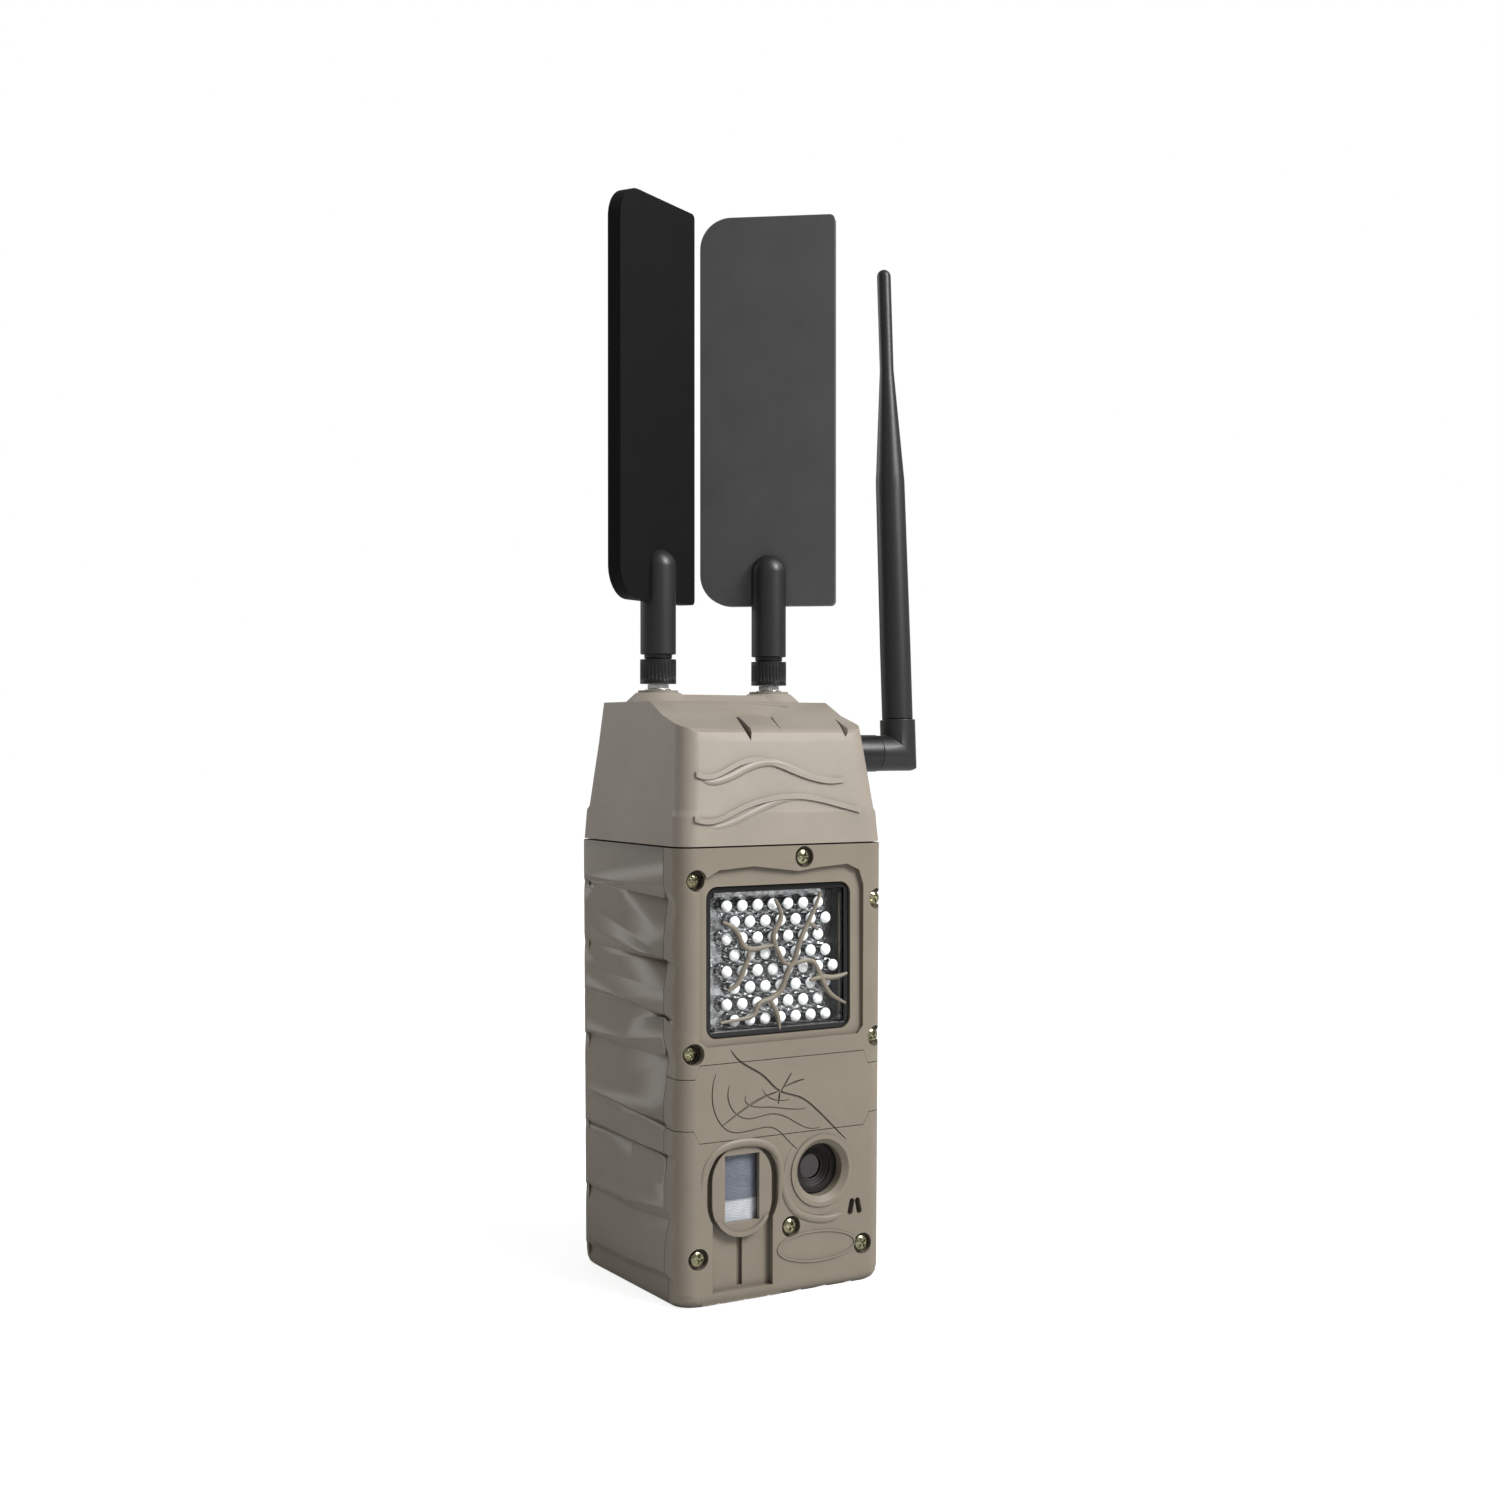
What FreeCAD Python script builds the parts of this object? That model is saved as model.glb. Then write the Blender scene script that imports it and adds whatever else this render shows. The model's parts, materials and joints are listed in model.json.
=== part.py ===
"""Trail camera with two paddle antennas and one side whip, as separate pieces.

Frame: +Z up, the front looks along -Y, the viewer's right is +X.
Origin: the mouth of the tripod socket, in the middle of the flat bottom.
"""
import FreeCAD, Part
import math
import os
from FreeCAD import Vector as V

os.makedirs("parts", exist_ok=True)

# ---------------------------------------------------------------- driving sizes (mm)
WIDTH = 89.4            # body width at the cap seam
DEPTH = 85.0            # body depth at the cap seam
SEAM_Z = 167.0          # height of the seam between case and cap
SIDE_TAPER = 0.4        # how much each side comes in towards the bottom
FACE_TAPER = 1.2        # the same for the front and the back
CORNER_R = 7.0
# height above the floor, and how far the edge is in
FOOT_STEPS = [(0.0, 2.2), (0.9, 1.0), (2.4, 0.25), (5.0, -0.1)]
WALL = 3.0
GAP = 0.3               # open line between neighbouring covers
SPLIT_Y = -29.5         # front covers end here on the sides
FRONT_Y = -DEPTH / 2
BACK_Y = DEPTH / 2

CAP_SHOULDER_Z = 205.0  # the cap's front face ends near here
CAP_TOP_Z = 220.5
BOSS_R, BOSS_TOP_Z = 7.8, 225.0
MOUND_R, MOUND_LOW_Z = 14.2, 219.0      # the mound round each mast, and the saddle that joins the two
SADDLE_Z = 223.4

WINDOW_X = (-33.0, 29.5)
WINDOW_Z = (97.0, 152.5)
LED_R, LED_PITCH_X, LED_PITCH_Z = 2.5, 6.62, 6.05
LED_START_X, LED_TOP_Z = -22.2, 144.8
LED_ROWS, LED_COLUMNS = 8, 7
LED_BASE, LED_BODY = 13.3, 6.1     # depth of the lamps' feet behind the front, and their straight length

PIR_X, PIR_LOW_Z, PIR_HIGH_Z = -18.0, 23.0, 59.0
POCKET_HALF_W, SLIDER_HALF_W = 15.2, 12.6
SLIDE_TRAVEL = 17.5
LENS_X, LENS_Z, LENS_R = 16.0, 44.5, 9.9
BADGE_X, BADGE_Z = 14.0, 16.4

MAST_X, MAST_Y, MAST_R = 25.0, 11.7, 6.9
NUT_LOW_Z, NUT_TOP_Z = 227.6, 237.0
MAST_LOW_Z, MAST_TOP_Z = 239.0, 279.8
BLADE_LOW_Z, BLADE_TOP_Z = 259.5, 415.2
BLADE_FRONT, BLADE_BACK = 0.7, -5.1     # the blade's faces, measured from the mast's axis
BLADE_NEAR, BLADE_FAR = 26.6, 27.7      # its reach to each side of the mast's axis
LEFT_YAW, RIGHT_YAW = 30.4, -38.3

WHIP_X, WHIP_Y, WHIP_Z = 70.3, -14.0, 200.5
WHIP_LEAN = 3.1         # degrees back from upright
WHIP_TOP = 196.1        # tip above the elbow's axis
ELBOW_R = 7.05
SIDE_WALL_X = 40.9      # where the cap's side wall stands at the whip's height

CELL_R, CELL_LENGTH = 16.6, 61.0
CELL_Y = 18.8
HINGE_X, HINGE_Y = 39.0, 45.7
PIN_R, KNUCKLE_R = 1.5, 2.7
RUNNING = 0.05          # radial clearance of a running fit
DOOR_Z = (9.0, 161.0)
DOOR_HALF_W = 35.8
THREAD_R, THREAD_LENGTH = 2.55, 6.6     # 1/4-20 minor radius, and how deep the socket is
SOCKET_R, SOCKET_LENGTH = 4.5, 7.6
TRAY_Z = 8.9            # underside of the battery tray


# ---------------------------------------------------------------- small helpers
def box(x, y, z):
    """A box from three (low, high) pairs."""
    return Part.makeBox(x[1] - x[0], y[1] - y[0], z[1] - z[0], V(x[0], y[0], z[0]))


def cyl(radius, length, at, along=(0, 0, 1)):
    return Part.makeCylinder(radius, length, V(*at), V(*along))


def cone(r1, r2, length, at, along=(0, 0, 1)):
    return Part.makeCone(r1, r2, length, V(*at), V(*along))


def ring(outer, inner, length, at, along=(0, 0, 1)):
    return cyl(outer, length, at, along).cut(cyl(inner, length, at, along))


def fuse(*solids):
    shape = solids[0].multiFuse(list(solids[1:])) if len(solids) > 1 else solids[0]
    return shape.removeSplitter()


def prism(points, along):
    """A closed outline swept along one vector."""
    wire = Part.makePolygon([V(*p) for p in points] + [V(*points[0])])
    return Part.Face(wire).extrude(V(*along))


def front_prism(outline, y0, y1):
    """An outline of (x, z) points swept from y0 to y1."""
    return prism([(x, y0, z) for x, z in outline], (0, y1 - y0, 0))


def spline_prism(low, high, y0, y1):
    """A band between two smooth curves of (x, z) points, swept from y0 to y1."""
    edges = []
    for points in (low, high):
        curve = Part.BSplineCurve()
        curve.interpolate([V(x, y0, z) for x, z in points])
        edges.append(curve.toShape())
    ends = [Part.makeLine(V(low[i][0], y0, low[i][1]), V(high[i][0], y0, high[i][1])) for i in (0, -1)]
    wire = Part.Wire(Part.__sortEdges__(edges + ends))
    return Part.Face(wire).extrude(V(0, y1 - y0, 0))


def rounded(half_x, y0, y1, z, radius):
    """A rounded rectangle at height z, as a wire that starts at the same corner every time."""
    s = radius * (1 - math.sqrt(0.5))
    x = half_x
    edges = [
        Part.makeLine(V(-x + radius, y0, z), V(x - radius, y0, z)),
        Part.Arc(V(x - radius, y0, z), V(x - s, y0 + s, z), V(x, y0 + radius, z)).toShape(),
        Part.makeLine(V(x, y0 + radius, z), V(x, y1 - radius, z)),
        Part.Arc(V(x, y1 - radius, z), V(x - s, y1 - s, z), V(x - radius, y1, z)).toShape(),
        Part.makeLine(V(x - radius, y1, z), V(-x + radius, y1, z)),
        Part.Arc(V(-x + radius, y1, z), V(-x + s, y1 - s, z), V(-x, y1 - radius, z)).toShape(),
        Part.makeLine(V(-x, y1 - radius, z), V(-x, y0 + radius, z)),
        Part.Arc(V(-x, y0 + radius, z), V(-x + s, y0 + s, z), V(-x + radius, y0, z)).toShape(),
    ]
    return Part.Wire(edges)


def pane(x, z, radius, y0, y1):
    """A plate seen from the front, with four round corners."""
    plate = box(x, (y0, y1), z)
    corners = [e for e in plate.Edges if abs(e.Vertexes[0].Y - e.Vertexes[1].Y) > 0.9 * (y1 - y0)]
    return plate.makeFillet(radius, corners)


def stadium(x, half_w, z0, z1, y0, y1):
    """An upright slot shape with round ends, swept from y0 to y1."""
    length = y1 - y0
    middle = box((x - half_w, x + half_w), (y0, y1), (z0 + half_w, z1 - half_w))
    ends = [cyl(half_w, length, (x, y0, z), (0, 1, 0)) for z in (z0 + half_w, z1 - half_w)]
    return fuse(middle, *ends)


def hexagon(across, length, at, along):
    """A hexagonal bar, centred on a point, along Z or X."""
    r = across / math.sqrt(3)
    points = []
    for k in range(6):
        a, b = r * math.cos(math.radians(60 * k)), r * math.sin(math.radians(60 * k))
        points.append((at[0] + a, at[1] + b, at[2]) if along[2] else (at[0], at[1] + a, at[2] + b))
    return prism(points, [length * c for c in along])


def turned(shape, degrees, at=(0, 0, 0), about=(0, 0, 1)):
    copy = shape.copy()
    copy.rotate(V(*at), V(*about), degrees)
    return copy


def export(node, *solids):
    shape = solids[0] if len(solids) == 1 else Part.makeCompound(list(solids))
    shape.exportStep(f"parts/{node}.step")
    print(f"{node:20s} solids {len(shape.Solids):2d}  volume {shape.Volume:10.1f}  valid {shape.isValid()}")


# ---------------------------------------------------------------- the body's outer form
def taper(z):
    """0 at the cap seam, 1 at the bottom."""
    return (SEAM_Z - z) / SEAM_Z


def body_form(inset, z0, z1):
    """The tapered, round-cornered block, brought in by inset on every side."""
    wires = []
    for z in (z0, z1):
        half_x = WIDTH / 2 - SIDE_TAPER * taper(z) - inset
        half_y = DEPTH / 2 - FACE_TAPER * taper(z) - inset
        wires.append(rounded(half_x, -half_y, half_y, z, max(CORNER_R - inset, 2.5)))
    return Part.makeLoft(wires, True, True)


def foot_form():
    """Everything inside this keeps its shape; it rounds the bottom edge in three steps."""
    wires = []
    for z, inset in FOOT_STEPS:
        half_x, half_y = WIDTH / 2 - SIDE_TAPER * taper(z) - inset, DEPTH / 2 - FACE_TAPER * taper(z) - inset
        wires.append(rounded(half_x, -half_y, half_y, z, CORNER_R + 0.5))
    top = rounded(60.0, -60.0, 60.0, FOOT_STEPS[-1][0], CORNER_R)
    rest = Part.Face(top).extrude(V(0, 0, 200))
    return Part.makeLoft(wires, True, True).fuse(rest)


# Bark ledges on the sides. Each row: the ledge's upper and lower edge at four places from the
# back corner to the front corner, and how deep it bites. Above each crest the wall is full height.
LEDGE_Y = (52.0, 34.0, 2.0, -30.0, -41.5, -52.0)
LEDGES = [
    ((154.5, 153.5, 152.0, 153.8, 147.5, 147.5), (150.5, 150.0, 149.0, 147.4, 145.0, 145.0), 1.9),
    ((136.0, 134.5, 127.8, 126.5, 125.0, 125.0), (126.0, 126.0, 125.5, 125.0, 123.5, 123.5), 1.8),
    ((110.5, 110.0, 108.6, 107.5, 106.0, 106.0), (107.0, 107.5, 107.0, 104.0, 104.0, 104.0), 1.3),
    ((92.5, 92.6, 93.6, 98.6, 92.0, 92.0), (89.5, 89.8, 89.6, 89.2, 89.0, 89.0), 2.0),
    ((70.5, 70.0, 68.0, 67.0, 66.0, 66.0), (67.0, 67.5, 66.8, 65.5, 65.0, 65.0), 0.9),
    ((58.6, 58.2, 56.2, 55.6, 55.0, 55.0), (55.6, 55.8, 54.8, 54.2, 54.0, 54.0), 1.5),
    ((34.0, 33.4, 32.4, 36.2, 33.4, 33.4), (30.0, 30.2, 29.0, 30.4, 31.4, 31.4), 1.9),
    ((11.4, 11.2, 10.6, 12.0, 11.0, 11.0), (6.8, 6.8, 7.2, 9.0, 9.4, 9.4), 1.8),
]
BITE = (1.0, 1.0, 0.9, 1.0, 0.0, 0.0)   # the depth fades to nothing at the front corner
CLEAR = 0.25                            # a ledge's crest stands this far outside the wall
RISE = 6.5                              # the wall leans back to half its crest this far above a ledge


def side_cutter(side):
    """What the ledges take away from one side; side is -1 for the left, 1 for the right."""
    wires = []
    for k, y in enumerate(LEDGE_Y):
        points = []
        for upper, lower, depth in LEDGES:
            away = (CLEAR * (1 - BITE[k] / 2), CLEAR, -depth * BITE[k])
            for z, out in zip((upper[k] + RISE, upper[k], lower[k] - 0.01), away):
                wall = WIDTH / 2 - SIDE_TAPER * taper(z)
                points.append(V(side * (wall + out), y, z))
        first, last = V(points[0]), V(points[-1])
        loop = [V(side * 60, y, 200), V(first.x, y, 200)] + points
        loop += [V(last.x + side * 0.9, y, -20), V(side * 60, y, -20)]
        wires.append(Part.makePolygon(loop + [loop[0]]))
    return Part.makeLoft(wires, True, True)


def front_region(low, high):
    """The part of the front covers between two stepped seam lines."""
    outline = low + high[::-1]
    return front_prism(outline, FRONT_Y - 10, SPLIT_Y - GAP / 2)


def seam_line(end_z, step_x, middle_z, shift):
    """A seam across the front: level at the ends, one step, level in the middle."""
    lean = 2.6 if middle_z < end_z else 1.8
    left = [(-60, end_z), (-step_x - lean, end_z), (-step_x, middle_z)]
    right = [(step_x - 1.5, middle_z), (step_x - 1.5 + lean, end_z), (60, end_z)]
    return [(x, z + shift) for x, z in left + right]


COVER_TOP = dict(end_z=83.2, step_x=36.4, middle_z=88.1)
COVER_LOW = dict(end_z=64.5, step_x=36.2, middle_z=59.8)


def front_shell():
    """The hollow front of the body before it is parted into three covers."""
    z0, z1 = 0.0, SEAM_Z - GAP
    shell = body_form(0, z0, z1).cut(body_form(WALL, z0 + WALL, z1 + 1))
    for side in (-1, 1):
        shell = shell.cut(side_cutter(side))
    return shell.common(foot_form()).common(box((-60, 60), (FRONT_Y - 10, SPLIT_Y - GAP / 2), (-5, 190)))


# ---------------------------------------------------------------- screws on the front
UPPER_SCREWS = [(-37.6, 155.0), (7.9, 162.4), (41.0, 145.4), (-38.4, 92.2), (40.6, 93.0)]
LOWER_SCREWS = [(-36.5, 17.9), (2.7, 25.0), (34.6, 14.6)]
SCREW_HEAD_R, SCREW_SHANK_R = 2.8, 1.5
SEAT_R = 4.0
POST_R, POST_LENGTH, POST_RIB = 3.4, 9.0, 2.4     # screw posts in the case, each with a rib to the side wall


# small chips along the bottom edge: middle, half length
CHIPS = [(-29.0, 3.2), (-17.5, 2.4), (-8.0, 4.0), (6.5, 2.6), (17.0, 3.6), (29.0, 2.4)]
CHIP_HEIGHT = 0.75


def screw_seat_y(x, z):
    """Corner screws sit further back than those on the flat face."""
    return FRONT_Y + FACE_TAPER * taper(z) + (5.2 if abs(x) > 37 else 2.6)


def screw(x, z):
    """A pan-head cross-recess screw, with its head to the front."""
    y = screw_seat_y(x, z)
    head = cyl(SCREW_HEAD_R, 1.2, (x, y - 1.2, z), (0, 1, 0))
    dome = Part.makeSphere(4.6, V(x, y + 1.9, z))
    dome = dome.common(cyl(SCREW_HEAD_R, 2.0, (x, y - 3.0, z), (0, 1, 0)))
    shank = cyl(SCREW_SHANK_R, 12.0, (x, y - 0.1, z), (0, 1, 0))
    tip = cone(SCREW_SHANK_R, 0.4, 2.0, (x, y + 11.9, z), (0, 1, 0))
    cross = [box((x - a, x + a), (y - 4, y - 1.5), (z - b, z + b)) for a, b in ((1.9, 0.42), (0.42, 1.9))]
    return turned(fuse(head, dome, shank, tip).cut(fuse(*cross)), 40 * math.sin(x + z), (x, y, z), (0, 1, 0))


def screw_bosses(cover, places):
    """Thicken a cover behind each screw's head."""
    for x, z in places:
        boss = cyl(SEAT_R + 1.6, 2.6, (x, screw_seat_y(x, z), z), (0, 1, 0))
        cover = cover.fuse(boss.common(body_form(0.6, 1, SEAM_Z - 2)))
    return cover


def screw_holes(cover, places):
    """A counterbore for each head and a clearance hole for each shank."""
    for x, z in places:
        y = screw_seat_y(x, z)
        cover = cover.cut(cyl(SEAT_R, 14, (x, y - 14, z), (0, 1, 0)))
        cover = cover.cut(cyl(SCREW_SHANK_R + 0.2, 30, (x, y - 1, z), (0, 1, 0)))
    return cover


# ---------------------------------------------------------------- engraving on the front
# A log's cut end: two long cracks and two twigs that meet, and broken growth rings round them.
CRACKS = [
    [(-23.5, 92.9), (-18.3, 87.5), (-9.6, 82.2), (-3.0, 76.3), (6.4, 72.8), (12.7, 68.4), (26.9, 55.0)],
    [(-2.6, 75.8), (-9.6, 74.3), (-19.2, 70.0), (-27.4, 65.2)],
    [(-2.1, 75.6), (-0.4, 78.2), (2.6, 82.3)],
    [(-0.4, 77.4), (3.7, 78.6), (8.2, 79.5)],
    [(-2.4, 75.6), (-2.9, 73.0), (-3.1, 71.2)],
]
RINGS = [
    [(-17.0, 75.8), (-17.3, 73.8), (-12.2, 70.9), (-6.9, 70.4), (-0.7, 69.3), (9.1, 68.5)],
    [(-23.9, 80.1), (-24.6, 75.7), (-22.2, 70.3), (-16.6, 67.1), (-6.1, 67.8), (1.9, 65.2), (8.2, 61.6),
     (15.5, 60.9)],
    [(-29.5, 85.1), (-31.2, 76.4), (-29.2, 68.6), (-24.4, 63.4), (-14.0, 62.7), (-5.2, 62.5), (1.1, 57.3),
     (5.2, 53.6)],
    [(-10.0, 77.4), (-8.3, 74.9), (-3.4, 72.6), (1.9, 72.5)],
]
CRACK_DEPTH, RING_DEPTH = 0.65, 0.4


def groove(points, half, depth):
    """A tapering groove along a smooth line, cut into the front from outside."""
    low, high = [], []
    for k, (x, z) in enumerate(points):
        (xa, za), (xb, zb) = points[max(k - 1, 0)], points[min(k + 1, len(points) - 1)]
        run = math.hypot(xb - xa, zb - za)
        wide = half * (0.35 if k in (0, len(points) - 1) else 1.0)
        nx, nz = -(zb - za) / run * wide, (xb - xa) / run * wide
        low.append((x - nx, z - nz))
        high.append((x + nx, z + nz))
    middle = points[len(points) // 2][1]
    return spline_prism(low, high, FRONT_Y - 3, FRONT_Y + FACE_TAPER * taper(middle) + depth)


def engrave(cover, cracks, rings):
    for points in cracks:
        cover = cover.cut(groove(points, 0.42, CRACK_DEPTH))
    for points in rings:
        cover = cover.cut(groove(points, 0.26, RING_DEPTH))
    return cover


# ---------------------------------------------------------------- front covers
TRAY = [(-36.6, 97.0), (-36.6, 150.0), (-34.4, 155.6), (-28.5, 158.6), (-14.0, 159.6), (-2.5, 158.2),
        (5.5, 157.2), (15.0, 158.4), (27.0, 159.2), (32.4, 156.8), (34.4, 151.0), (34.4, 97.6),
        (32.0, 94.6), (-33.0, 94.4)]
TRAY_DEPTH = 1.9
WINDOW_SINK = 3.4       # the window's face sits this far behind the front


def upper_bezel(shell):
    cover = shell.common(front_region(seam_line(**COVER_TOP, shift=GAP / 2), [(-60, 190), (60, 190)]))
    cover = cover.cut(front_prism(TRAY, FRONT_Y - 5, FRONT_Y + TRAY_DEPTH))
    (x0, x1), (z0, z1) = WINDOW_X, WINDOW_Z
    frame_y = FRONT_Y + 7.5
    inner = body_form(WALL - 0.2, 3, SEAM_Z)
    frame = box((x0 - 3, x1 + 3), (FRONT_Y + TRAY_DEPTH, frame_y), (z0 - 2.6, z1 + 3)).common(inner)
    cover = cover.fuse(frame)
    cover = cover.cut(pane((x0, x1), (z0, z1), 4.5, FRONT_Y - 5, FRONT_Y + 5.9))
    cover = cover.cut(box((x0 + 2, x1 - 2), (FRONT_Y - 5, FRONT_Y + 9), (z0 + 2, z1 - 2)))
    cover = screw_holes(screw_bosses(cover, UPPER_SCREWS), UPPER_SCREWS)
    return engrave(cover, CRACKS[:1], []).removeSplitter()


def mid_cover(shell):
    low = seam_line(**COVER_LOW, shift=GAP / 2)
    high = seam_line(**COVER_TOP, shift=-GAP / 2)
    return engrave(shell.common(front_region(low, high)), CRACKS, RINGS).removeSplitter()


def lower_bezel(shell):
    cover = shell.common(front_region([(-60, -20), (60, -20)], seam_line(**COVER_LOW, shift=-GAP / 2)))
    cover = screw_holes(screw_bosses(cover, LOWER_SCREWS), LOWER_SCREWS)
    face = FRONT_Y + FACE_TAPER
    rim = ring(LENS_R + 3.6, LENS_R, 6.0, (LENS_X, FRONT_Y + 0.2, LENS_Z), (0, 1, 0))
    bulge = ring(LENS_R + 6.6, LENS_R, 5.0, (LENS_X, FRONT_Y + 0.7, LENS_Z), (0, 1, 0))
    raised = fuse(rim, bulge).common(front_prism([(-60, 0), (60, 0), (60, 59.4), (-60, 59.4)], -60, 0))
    cover = fuse(cover, raised)
    backing = box((PIR_X - 17, PIR_X + 17), (face, face + 6.6), (0.5, 59.0))
    cover = cover.fuse(backing.common(body_form(0.5, 0, SEAM_Z)))
    pocket = stadium(PIR_X, POCKET_HALF_W, PIR_LOW_Z, PIR_HIGH_Z, FRONT_Y - 5, face + 2.7)
    channel = box((PIR_X - 12.8, PIR_X + 12.8), (FRONT_Y - 5, face + 2.7), (4.6, PIR_LOW_Z + 15))
    guide = box((PIR_X - 1.2, PIR_X + 1.2), (FRONT_Y - 5, face + 4.2), (5.6, PIR_LOW_Z + 6))
    window = box((PIR_X - 8.2, PIR_X + 8.2), (FRONT_Y - 5, face + 9), (28.0, 56.5))
    recess = box((PIR_X - 9.7, PIR_X + 9.7), (face + 4.4, face + 9), (26.5, 57.9))
    cover = cover.cut(fuse(pocket, channel, guide, window, recess))
    cover = cover.cut(cyl(LENS_R, 20, (LENS_X, FRONT_Y - 5, LENS_Z), (0, 1, 0)))
    cover = cover.cut(cone(LENS_R + 2.0, LENS_R, 2.0, (LENS_X, FRONT_Y + 0.19, LENS_Z), (0, 1, 0)))
    for dx, tilt in ((-1.7, 12), (1.7, -12)):
        slot = stadium(31.0 + dx, 1.15, 26.0, 32.4, FRONT_Y - 2, FRONT_Y + 8)
        cover = cover.cut(turned(slot, tilt, (31.0 + dx, 0, 29), (0, 1, 0)))
    cover = engrave(screw_holes(cover, LOWER_SCREWS), CRACKS[:1], RINGS[2:3])
    for x, half in CHIPS:
        chip = [(x - half, -60, -0.1), (x + half * 0.4, -60, CHIP_HEIGHT), (x + half, -60, -0.1)]
        cover = cover.cut(prism(chip, (0, 22, 0)))
    badge = oval(BADGE_X, BADGE_Z, 17.3, 5.9).cut(oval(BADGE_X, BADGE_Z, 16.6, 5.2))
    badge = screw_holes(badge, LOWER_SCREWS[2:])
    return cover.fuse(badge).removeSplitter()


def oval(x, z, half_x, half_z):
    """A blank oval pad standing a little proud of the front, tilted by two degrees."""
    curve = Part.Ellipse(V(0, 0, 0), half_x, half_z)
    face = Part.Face(Part.Wire(curve.toShape()))
    face.rotate(V(0, 0, 0), V(1, 0, 0), 90)
    face.rotate(V(0, 0, 0), V(0, 1, 0), 2.0)
    face.translate(V(x, FRONT_Y + FACE_TAPER * taper(z) - 0.4, z))
    return face.extrude(V(0, 1.4, 0))


def zone_slider():
    """The mask over the motion sensor: it slides down its channel on a small key."""
    face = FRONT_Y + FACE_TAPER
    y0, y1 = face + 0.4, face + 2.4
    half = SLIDER_HALF_W
    plate = stadium(PIR_X, half, PIR_LOW_Z + 0.9, PIR_HIGH_Z - 1.4, y0, y1)
    plate = plate.cut(box((PIR_X - 7.3, PIR_X + 7.3), (y0 - 1, y1 + 1), (29.4, 54.0)))
    lip = stadium(PIR_X, half, PIR_LOW_Z + 0.9, PIR_LOW_Z + 2 * half + 3, y0 - 0.7, y0 + 0.1)
    lip = lip.cut(stadium(PIR_X, half - 1.6, PIR_LOW_Z + 2.5, PIR_LOW_Z + 2 * half + 8, y0 - 2, y0 + 1))
    lip = lip.common(box((-60, 60), (-60, 0), (0, PIR_LOW_Z + 7.5)))
    key = box((PIR_X - 0.9, PIR_X + 0.9), (y1 - 0.1, y1 + 1.4), (PIR_LOW_Z + 1.4, PIR_LOW_Z + 4.8))
    return fuse(plate, lip, key)


def sensor_parts():
    """Behind the mask: the ribbed lens, the sensor can and the board that they share with the camera."""
    face = FRONT_Y + FACE_TAPER
    lens = box((PIR_X - 9.4, PIR_X + 9.4), (face + 4.6, face + 5.6), (26.8, 57.6))
    arch = cyl(19.0, 25.0, (PIR_X, face + 21.4, 30.0)).common(
        box((PIR_X - 7.9, PIR_X + 7.9), (face + 2.9, face + 5.0), (28.3, 56.2)))
    export("motion_lens", fuse(lens, arch))
    sensor = fuse(cyl(4.6, 3.6, (PIR_X, -33.0, 42.0), (0, 1, 0)),
                  cyl(5.0, 0.6, (PIR_X, -30.0, 42.0), (0, 1, 0)))
    export("motion_sensor", sensor)
    board = box((-32, 32), (-29.4, -27.8), (20, 62))
    for x, z in LOWER_SCREWS:
        board = board.cut(cyl(SCREW_SHANK_R + 1, 9, (x, -33, z), (0, 1, 0)))
    export("sensor_board", board)
    hood = ring(LENS_R - 0.1, 7.4, 4.5, (LENS_X, FRONT_Y + 6.4, LENS_Z), (0, 1, 0))
    export("lens_hood", hood)
    export("lens_glass", cyl(7.3, 1.2, (LENS_X, FRONT_Y + 9.4, LENS_Z), (0, 1, 0)))
    barrel = ring(6.6, 3.2, 2.2, (LENS_X, FRONT_Y + 10.8, LENS_Z), (0, 1, 0))
    export("lens_barrel", barrel)
    element = Part.makeSphere(7.0, V(LENS_X, FRONT_Y + 18.2, LENS_Z)).common(
        cyl(3.1, 1.9, (LENS_X, FRONT_Y + 11.0, LENS_Z), (0, 1, 0)))
    export("front_element", element)
    export("microphone", cyl(3.2, 1.6, (31.0, FRONT_Y + 8.4, 29.0), (0, 1, 0)))


# ---------------------------------------------------------------- the flash
def led_places():
    places = []
    for row in range(LED_ROWS):
        start = LED_START_X + (LED_PITCH_X / 2 if row % 2 else 0)
        count = LED_COLUMNS + (1 if row == 4 else 0)
        places += [(start + LED_PITCH_X * k, LED_TOP_Z - LED_PITCH_Z * row) for k in range(count)]
    return places


def led(x, z):
    """A 5 mm lamp: flange, round body and domed nose."""
    y = FRONT_Y + LED_BASE
    nose = Part.makeSphere(LED_R, V(x, y - LED_BODY, z))
    body = cyl(LED_R, LED_BODY, (x, y - LED_BODY, z), (0, 1, 0))
    return fuse(nose, body, cyl(LED_R + 0.35, 0.9, (x, y - 0.9, z), (0, 1, 0)))


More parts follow.
